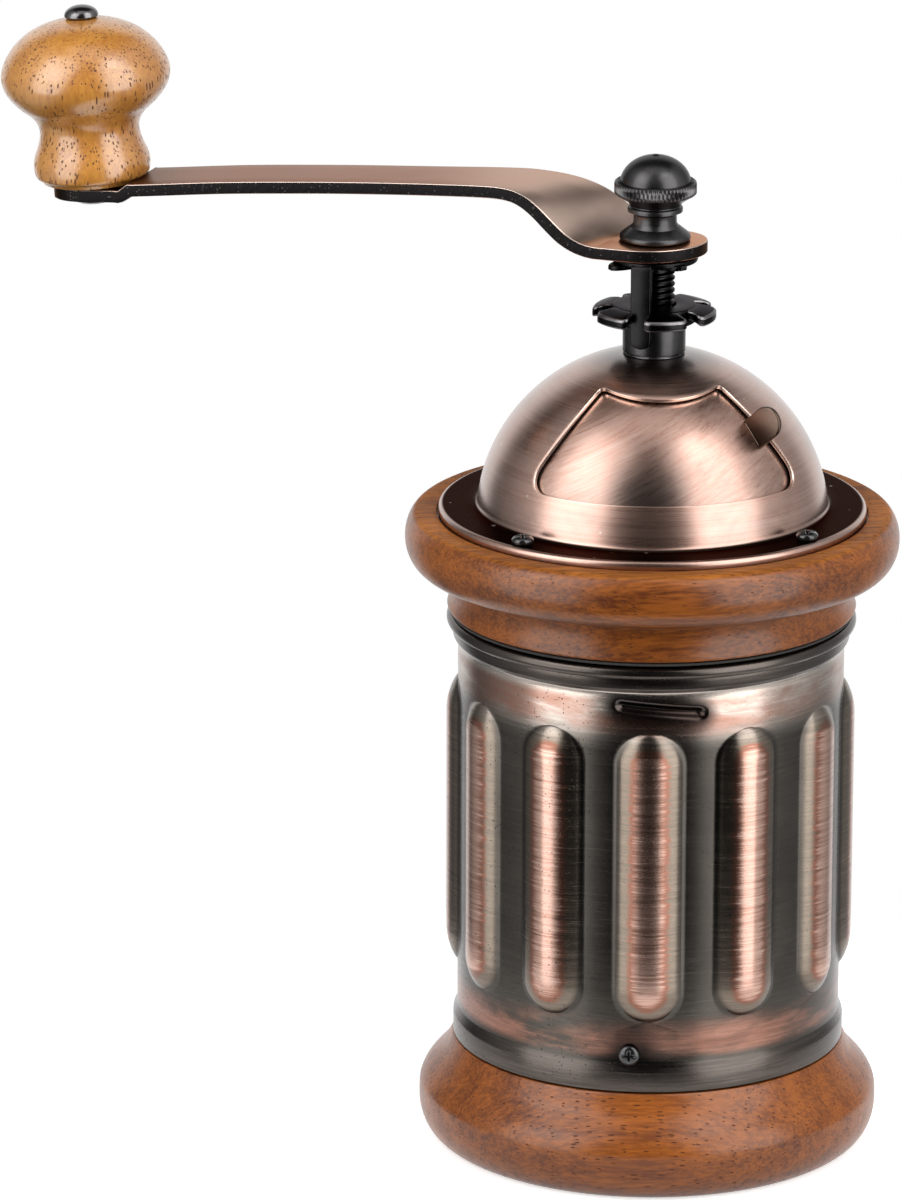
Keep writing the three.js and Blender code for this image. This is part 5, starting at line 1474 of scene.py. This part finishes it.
class MILL_OT_crank_arm(Step, Operator):
    """Crank arm with its hub eye, its step up and its tip eye"""

    bl_idname = "mill.crank_arm"
    bl_label = "Crank arm"

    def line(self):
        """Upper line of the arm, in the plane of its length and height."""
        reach, thick = mm(sizes().arm_reach), mm(sizes().arm_thickness)
        slope = math.tan(math.radians(KNOB_TILT))
        tip = thick + ARM_TIP_RISE
        points = [(out * reach, thick + up * ARM_RISE) for out, up in ARM_LINE]
        (out, up), (last_out, last_up) = ARM_LINE[-2:]
        fall = (up - last_up) / (last_out - out) * ARM_RISE / reach
        before = reach - 10.2
        level = points[-1][1] - (before - points[-1][0]) * fall
        points += [(before - 1, level + fall), (before, level), (reach - 8.4, tip + 8.4 * slope)]
        points += [(reach - 7, tip + 7 * slope), (reach, tip), (reach + 12, tip - 12 * slope)]
        return [(-14, thick), *through(points, 4)]

    def build(self, context):
        reach, thick = mm(sizes().arm_reach), mm(sizes().arm_thickness)
        line = self.line()
        bm = bmesh.new()
        hub, tip = arc((0, 0), (9.65, 9.65), 90, 270, 28), arc((reach, 0), (8, 8), -90, 90, 24)
        lower = through([(5, -9.6), (18.8, -9.2), (36, -8.3), (52.9, -7.7), (85, -7.85), (112, -8)], 4)
        outline = [*hub, *lower, *tip, *[(x, -y) for x, y in reversed(lower)]]
        bm.faces.new([bm.verts.new((x, y, 0)) for x, y in outline])
        for x, _ in line[1:]:
            if x < reach + 7:
                sliced(bm, (x, 0, 0), (1, 0, 0))
        for y in (-4, 0, 4):
            sliced(bm, (0, y, 0), (0, 1, 0))
        thickened(bm, (0, 0, -thick))
        bmesh.ops.recalc_face_normals(bm, faces=bm.faces)
        side = bm.faces.layers.float.new("side")
        worn = bm.faces.layers.float.new("worn")
        for face in bm.faces:
            face[side] = float(abs(face.normal.z) < 0.5)
        rims = [e for e in bm.edges if e.is_manifold and e.calc_face_angle(0) > math.radians(60)]
        for face in bevelled(bm, 0.5, 4, edges=rims):
            face[side] = float(abs(face.normal.z) < 0.55)
            face[worn] = float(face.normal.z > 0.25)
        for vert in bm.verts:
            vert.co = self.bent(vert.co, line, reach)
        bm.transform(arm_place())
        bmesh.ops.triangulate(bm, faces=[f for f in bm.faces if len(f.verts) > 4])
        settle(bm, "bent_arm", "crank", finish_of("Arm copper"), ["crank_arm"], sharp=28)

    def bent(self, point, line, reach):
        """A point of the flat bar, laid on the line of the arm, whose creases run aslant near the hub."""
        t = min(max(point.x / (reach * 0.5), 0), 1)
        left = 1 - t * t * (3 - 2 * t)
        shift = point.y * math.tan(math.radians(ARM_SKEW)) * left
        near = 1 - eased(point.x, 14, 30)
        slip = point.y * (math.tan(math.radians(ARM_CREASE)) - math.tan(math.radians(ARM_SKEW))) * near
        at = point.x - slip if point.x > 2 else point.x
        window = 3.2 * min(max(point.y / 9.6, 0), 1) * near
        around = [self.on_line(line, at + window * part) for part in (-1, -0.5, 0, 0.5, 1)]
        heights, tangents = zip(*around)
        height, tangent = sum(heights) / 5, sum(tangents, Vector((0, 0))).normalized()
        return Vector((point.x - tangent.y * point.z + shift, point.y, height + tangent.x * point.z))

    def on_line(self, line, at):
        """Height and direction of the line of the arm at a distance from the hub."""
        i = max(k for k, (x, _) in enumerate(line[:-1]) if x <= max(at, line[0][0]))
        (x0, z0), (x1, z1) = line[i], line[i + 1]
        height = z0 + (z1 - z0) * (at - x0) / (x1 - x0)
        before, after = line[i], line[i + 1]
        if at > 6:
            before, after = line[max(i - 1, 1)], line[min(i + 2, len(line) - 1)]
        return height, Vector((after[0] - before[0], after[1] - before[1])).normalized()


# Outline of the knob: radius in shares of its radius, height in shares of its height
KNOB_OUTLINE = [
    (0.62, 0), (0.672, 0.022), (0.69, 0.091), (0.665, 0.15), (0.612, 0.224), (0.587, 0.299),
    (0.615, 0.358), (0.69, 0.411), (0.83, 0.475), (0.955, 0.56), (1, 0.65), (0.96, 0.735),
    (0.875, 0.81), (0.775, 0.868), (0.625, 0.926), (0.43, 0.97), (0.2, 1),
]


class MILL_OT_knob(Step, Operator):
    """Turned knob, the riveted pin that it spins on and the washer under it"""

    bl_idname = "mill.knob"
    bl_label = "Knob"

    def build(self, context):
        radius, height, seat = mm(sizes().knob_radius), mm(sizes().knob_height), 1.2
        outline = through([(out * radius, seat + up * height) for out, up in KNOB_OUTLINE], 5)
        skirt = (KNOB_OUTLINE[0][0] * radius - 0.6, seat - 0.75)
        foot = [(2.4, seat), (6.2, seat), (6.5, seat - 0.7), skirt]
        profile = [*foot, *outline, (2.4, seat + height)]
        knob = turned(spun(profile, 128), knob_place())
        settle(knob, "turned_knob", "knob", finish_of("Knob wood"), ["wood_knob"])
        top, foot, thick = seat + height + 0.3, -2.8, 1.2
        head = [
            (0, foot - thick), (3.2, foot - thick), (4.0, foot - thick * 0.6), (4.2, foot - 0.15),
            (4.1, foot), (2, foot), (2, top - 0.25), (3.1, top - 0.2), (3.45, top + 0.25),
            *arc((0, top + 0.3), (3.45, 2.1), 8, 84, 9),
            (0, top + 2.4),
        ]
        pin = turned(spun(head, 72), knob_place())
        settle(pin, "riveted_pin", "crank", finish_of("Rivet black"), ["knob_pin"])
        ring = softened([(2.3, 0.3, 0.1), (5.5, 0.3, 0.2), (5.5, 0.9, 0.2), (2.3, 0.9, 0.1)])
        washer = turned(spun(ring, 72), knob_place())
        settle(washer, "thin_washer", "crank", finish_of("Black oxide"), ["knob_washer"])


class MILL_OT_hopper_bowl(Step, Operator):
    """Pressed funnel in the collar"""

    bl_idname = "mill.hopper_bowl"
    bl_label = "Hopper bowl"

    def build(self, context):
        profile = softened(
            [
                (36.8, 129.3, 0.15), (34, 129.3, 0.8), (31.5, 121.5, 3), (15.5, 110.1, 0.2),
                (14.85, 110.6, 0.2), (30.85, 122.0, 3), (33.35, 129.8, 0.8), (36.8, 129.8, 0.15),
            ]
        )
        lathe(profile, 144, "pressed_bowl", "mill", "Pressed steel", "hopper_bowl")


class MILL_OT_lock_ring(Step, Operator):
    """Locking ring with its three lugs"""

    bl_idname = "mill.lock_ring"
    bl_label = "Locking ring"

    def build(self, context):
        profile = softened(
            [
                (35.4, 94.0, 0.2), (36.2, 94.0, 0.2), (36.2, 109.8, 0.8), (31.4, 109.8, 0.2),
                (31.4, 109.0, 0.2), (35.4, 109.0, 0.5),
            ]
        )
        bm = spun(profile, 144)
        for azimuth in (-17.05, 102.95, 222.95):
            lug = box_between((35.9, -2.55, 94.5), (37.25, 2.55, 96.9))
            bevelled(lug, 0.35, 3)
            joined(bm, turned(lug, about_z(FRONT + azimuth)))
        settle(bm, "lugged_ring", "mill", finish_of("Pressed steel"), ["lock_ring"])


class MILL_OT_burrs(Step, Operator):
    """Finishes of the burrs, the bridge and the parts that hold them"""

    bl_idname = "mill.burrs"
    bl_label = "Burrs"

    def build(self, context):
        for node in ("outer_burr", "inner_burr"):
            dress(node, finish_of("Cast iron"))
        for node in ("burr_bridge", "burr_washer", "burr_nut"):
            dress(node, finish_of("Pressed steel"))


class MILL_OT_materials(Step, Operator):
    """Woods, platings and blackened steel"""

    bl_idname = "mill.materials"
    bl_label = "Materials"

    def build(self, context):
        make_materials()


# Stage


class MILL_OT_studio(Step, Operator):
    """Pale floor, soft lamps, white background and camera"""

    bl_idname = "mill.studio"
    bl_label = "Studio"

    def build(self, context):
        studio = context.scene.mill_studio
        self.floor(studio)
        self.world(studio)
        self.lamp("Left lamp", -54, 0.95, 0.45, (0.8, 1.9), studio.left_power)
        self.lamp("Right lamp", 50, 0.95, 0.45, (0.85, 1.9), studio.right_power)
        self.lamp("Top lamp", 0, 0.15, 1.1, (0.9, 0.5), studio.top_power)
        self.lamp("Left spot", -55, 0.9, 0.8, (0.5, 0.5), studio.left_spot)
        self.lamp("Right spot", 50, 0.8, 1.5, (0.4, 0.4), studio.right_spot)
        self.camera(studio)
        context.scene.view_settings.view_transform = "Standard"

    def floor(self, studio):
        bm = bmesh.new()
        bmesh.ops.create_circle(bm, cap_ends=True, segments=96, radius=studio.floor_radius)
        mesh = bpy.data.meshes.new("floor")
        bm.to_mesh(mesh)
        bm.free()
        floor = added("floor", mesh)
        material = bpy.data.materials.new("Pale floor")
        tree = cleared(material)
        path = tree.nodes.new("ShaderNodeLightPath").outputs
        seen = plus(tree, path["Is Camera Ray"], path["Is Transmission Ray"], clamp=True)
        seen = plus(tree, seen, path["Is Glossy Ray"], clamp=True)
        pale = mixed(tree, seen, (0.25, 0.25, 0.25), (0.9, 0.9, 0.9))
        matt = place(tree, "ShaderNodeBsdfDiffuse", {"Color": pale})
        strength = times(tree, seen, 0.6)
        glow = place(tree, "ShaderNodeEmission", {"Color": (1, 1, 1, 1), "Strength": strength})
        both = place(tree, "ShaderNodeAddShader", {0: matt.outputs[0], 1: glow.outputs[0]})
        place(tree, "ShaderNodeOutputMaterial", {"Surface": both.outputs[0]})
        mesh.materials.append(material)

    def world(self, studio):
        """White to the camera and behind the mill. Metal sees a dim room with bright sides elsewhere."""
        world = bpy.data.worlds.new("Studio room")
        bpy.context.scene.world = world
        tree = cleared(world)
        path = tree.nodes.new("ShaderNodeLightPath").outputs
        across, away, up = separated(tree, tree.nodes.new("ShaderNodeTexCoord").outputs["Generated"])
        bright = studio.side_level
        left = ranged(tree, away, -0.3, 0.5, bright * 1.8, bright * 0.35, smooth=False)
        right = ranged(tree, away, -0.3, 0.5, bright * 2.1, bright * 0.9, smooth=False)
        side = blended(tree, ranged(tree, across, -0.2, 0.2), left, right)
        raised = ranged(tree, up, 0.2, 0.6, 1.0, 1.3)
        beyond = ranged(tree, maths(tree, "ABSOLUTE", across), 0.35, 0.65)
        shown = plus(tree, times(tree, times(tree, side, raised), beyond), studio.dark_level)
        filled = ranged(tree, up, -0.3, 0.4, studio.room_level * 0.2, studio.room_level)
        room = blended(tree, path["Is Glossy Ray"], filled, shown)
        backdrop = times(tree, path["Is Glossy Ray"], ranged(tree, away, 0.62, 0.82))
        seen = plus(tree, path["Is Camera Ray"], path["Is Transmission Ray"], clamp=True)
        seen = plus(tree, seen, backdrop, clamp=True)
        level = blended(tree, seen, room, 1.0)
        background = place(tree, "ShaderNodeBackground", {"Color": (1, 1, 1, 1), "Strength": level})
        place(tree, "ShaderNodeOutputWorld", {"Surface": background.outputs[0]})

    def lamp(self, name, azimuth, distance, height, size, power):
        data = bpy.data.lights.new(name, "AREA")
        data.shape = "RECTANGLE"
        data.size, data.size_y = size
        data.energy = power
        lamp = added(name, data)
        turn = math.radians(azimuth)
        place_at = Vector((distance * math.sin(turn), -distance * math.cos(turn), height))
        aim = Vector((0, 0, AIM_HEIGHT)) - place_at
        facing = aim.to_track_quat("-Z", "Y").to_matrix().to_4x4()
        lamp.matrix_world = Matrix.Translation(place_at) @ facing

    def camera(self, studio):
        """Camera on the front of the mill, turned so that the mill stands right of the middle."""
        focal_pixels = studio.lens / SENSOR_WIDTH * PICTURE_HEIGHT
        drop = math.atan2(studio.camera_height - AIM_HEIGHT, studio.camera_distance)
        forward = Vector((0, math.cos(drop), -math.sin(drop)))
        up = Vector((0, math.sin(drop), math.cos(drop)))
        right = Vector((1, 0, 0))
        cosine, sine = math.cos(studio.camera_roll), math.sin(studio.camera_roll)
        up, right = up * cosine - right * sine, right * cosine + up * sine
        forward -= right * (SHIFT_RIGHT / focal_pixels)
        forward = (forward + up * (SHIFT_UP / focal_pixels)).normalized()
        right = forward.cross(up).normalized()
        up = right.cross(forward)
        data = bpy.data.cameras.new("Camera")
        data.lens = studio.lens
        data.sensor_width = SENSOR_WIDTH
        data.clip_start = 0.05
        camera = added("Camera", data)
        turn = Matrix((right, up, -forward)).transposed().to_4x4()
        stand = Matrix.Translation((0, -studio.camera_distance, studio.camera_height))
        camera.matrix_world = stand @ turn
        bpy.context.scene.camera = camera


PIECES = [
    MILL_OT_materials,
    MILL_OT_wood_base,
    MILL_OT_grounds_can,
    MILL_OT_screws,
    MILL_OT_rim_washer,
    MILL_OT_wood_collar,
    MILL_OT_lock_ring,
    MILL_OT_hopper_bowl,
    MILL_OT_dome_cover,
    MILL_OT_hopper_door,
    MILL_OT_bearing,
    MILL_OT_burrs,
    MILL_OT_crank_shaft,
    MILL_OT_star_nut,
    MILL_OT_lock_plate,
    MILL_OT_crank_arm,
    MILL_OT_cap_nut,
    MILL_OT_knob,
    MILL_OT_studio,
]


class MILL_PT_pieces(Panel):
    """Sizes, colours and operators of the mill"""

    bl_label = "Coffee mill"
    bl_idname = "MILL_PT_pieces"
    bl_space_type = "VIEW_3D"
    bl_region_type = "UI"
    bl_category = "Mill"

    def draw(self, context):
        for group in (context.scene.mill_sizes, context.scene.mill_finishes, context.scene.mill_studio):
            box = self.layout.box()
            for name in group.__annotations__:
                box.prop(group, name)
        for piece in PIECES:
            self.layout.operator(piece.bl_idname)


CLASSES = [MillSizes, MillFinishes, MillStudio, *PIECES, MILL_PT_pieces]


def register():
    for cls in CLASSES:
        bpy.utils.register_class(cls)
    bpy.types.Scene.mill_sizes = PointerProperty(type=MillSizes)
    bpy.types.Scene.mill_finishes = PointerProperty(type=MillFinishes)
    bpy.types.Scene.mill_studio = PointerProperty(type=MillStudio)


def unregister():
    del bpy.types.Scene.mill_studio
    del bpy.types.Scene.mill_finishes
    del bpy.types.Scene.mill_sizes
    for cls in reversed(CLASSES):
        bpy.utils.unregister_class(cls)


def main():
    register()
    for piece in PIECES:
        group, name = piece.bl_idname.split(".")
        getattr(getattr(bpy.ops, group), name)()
    bpy.context.view_layer.update()


if __name__ == "__main__":
    main()
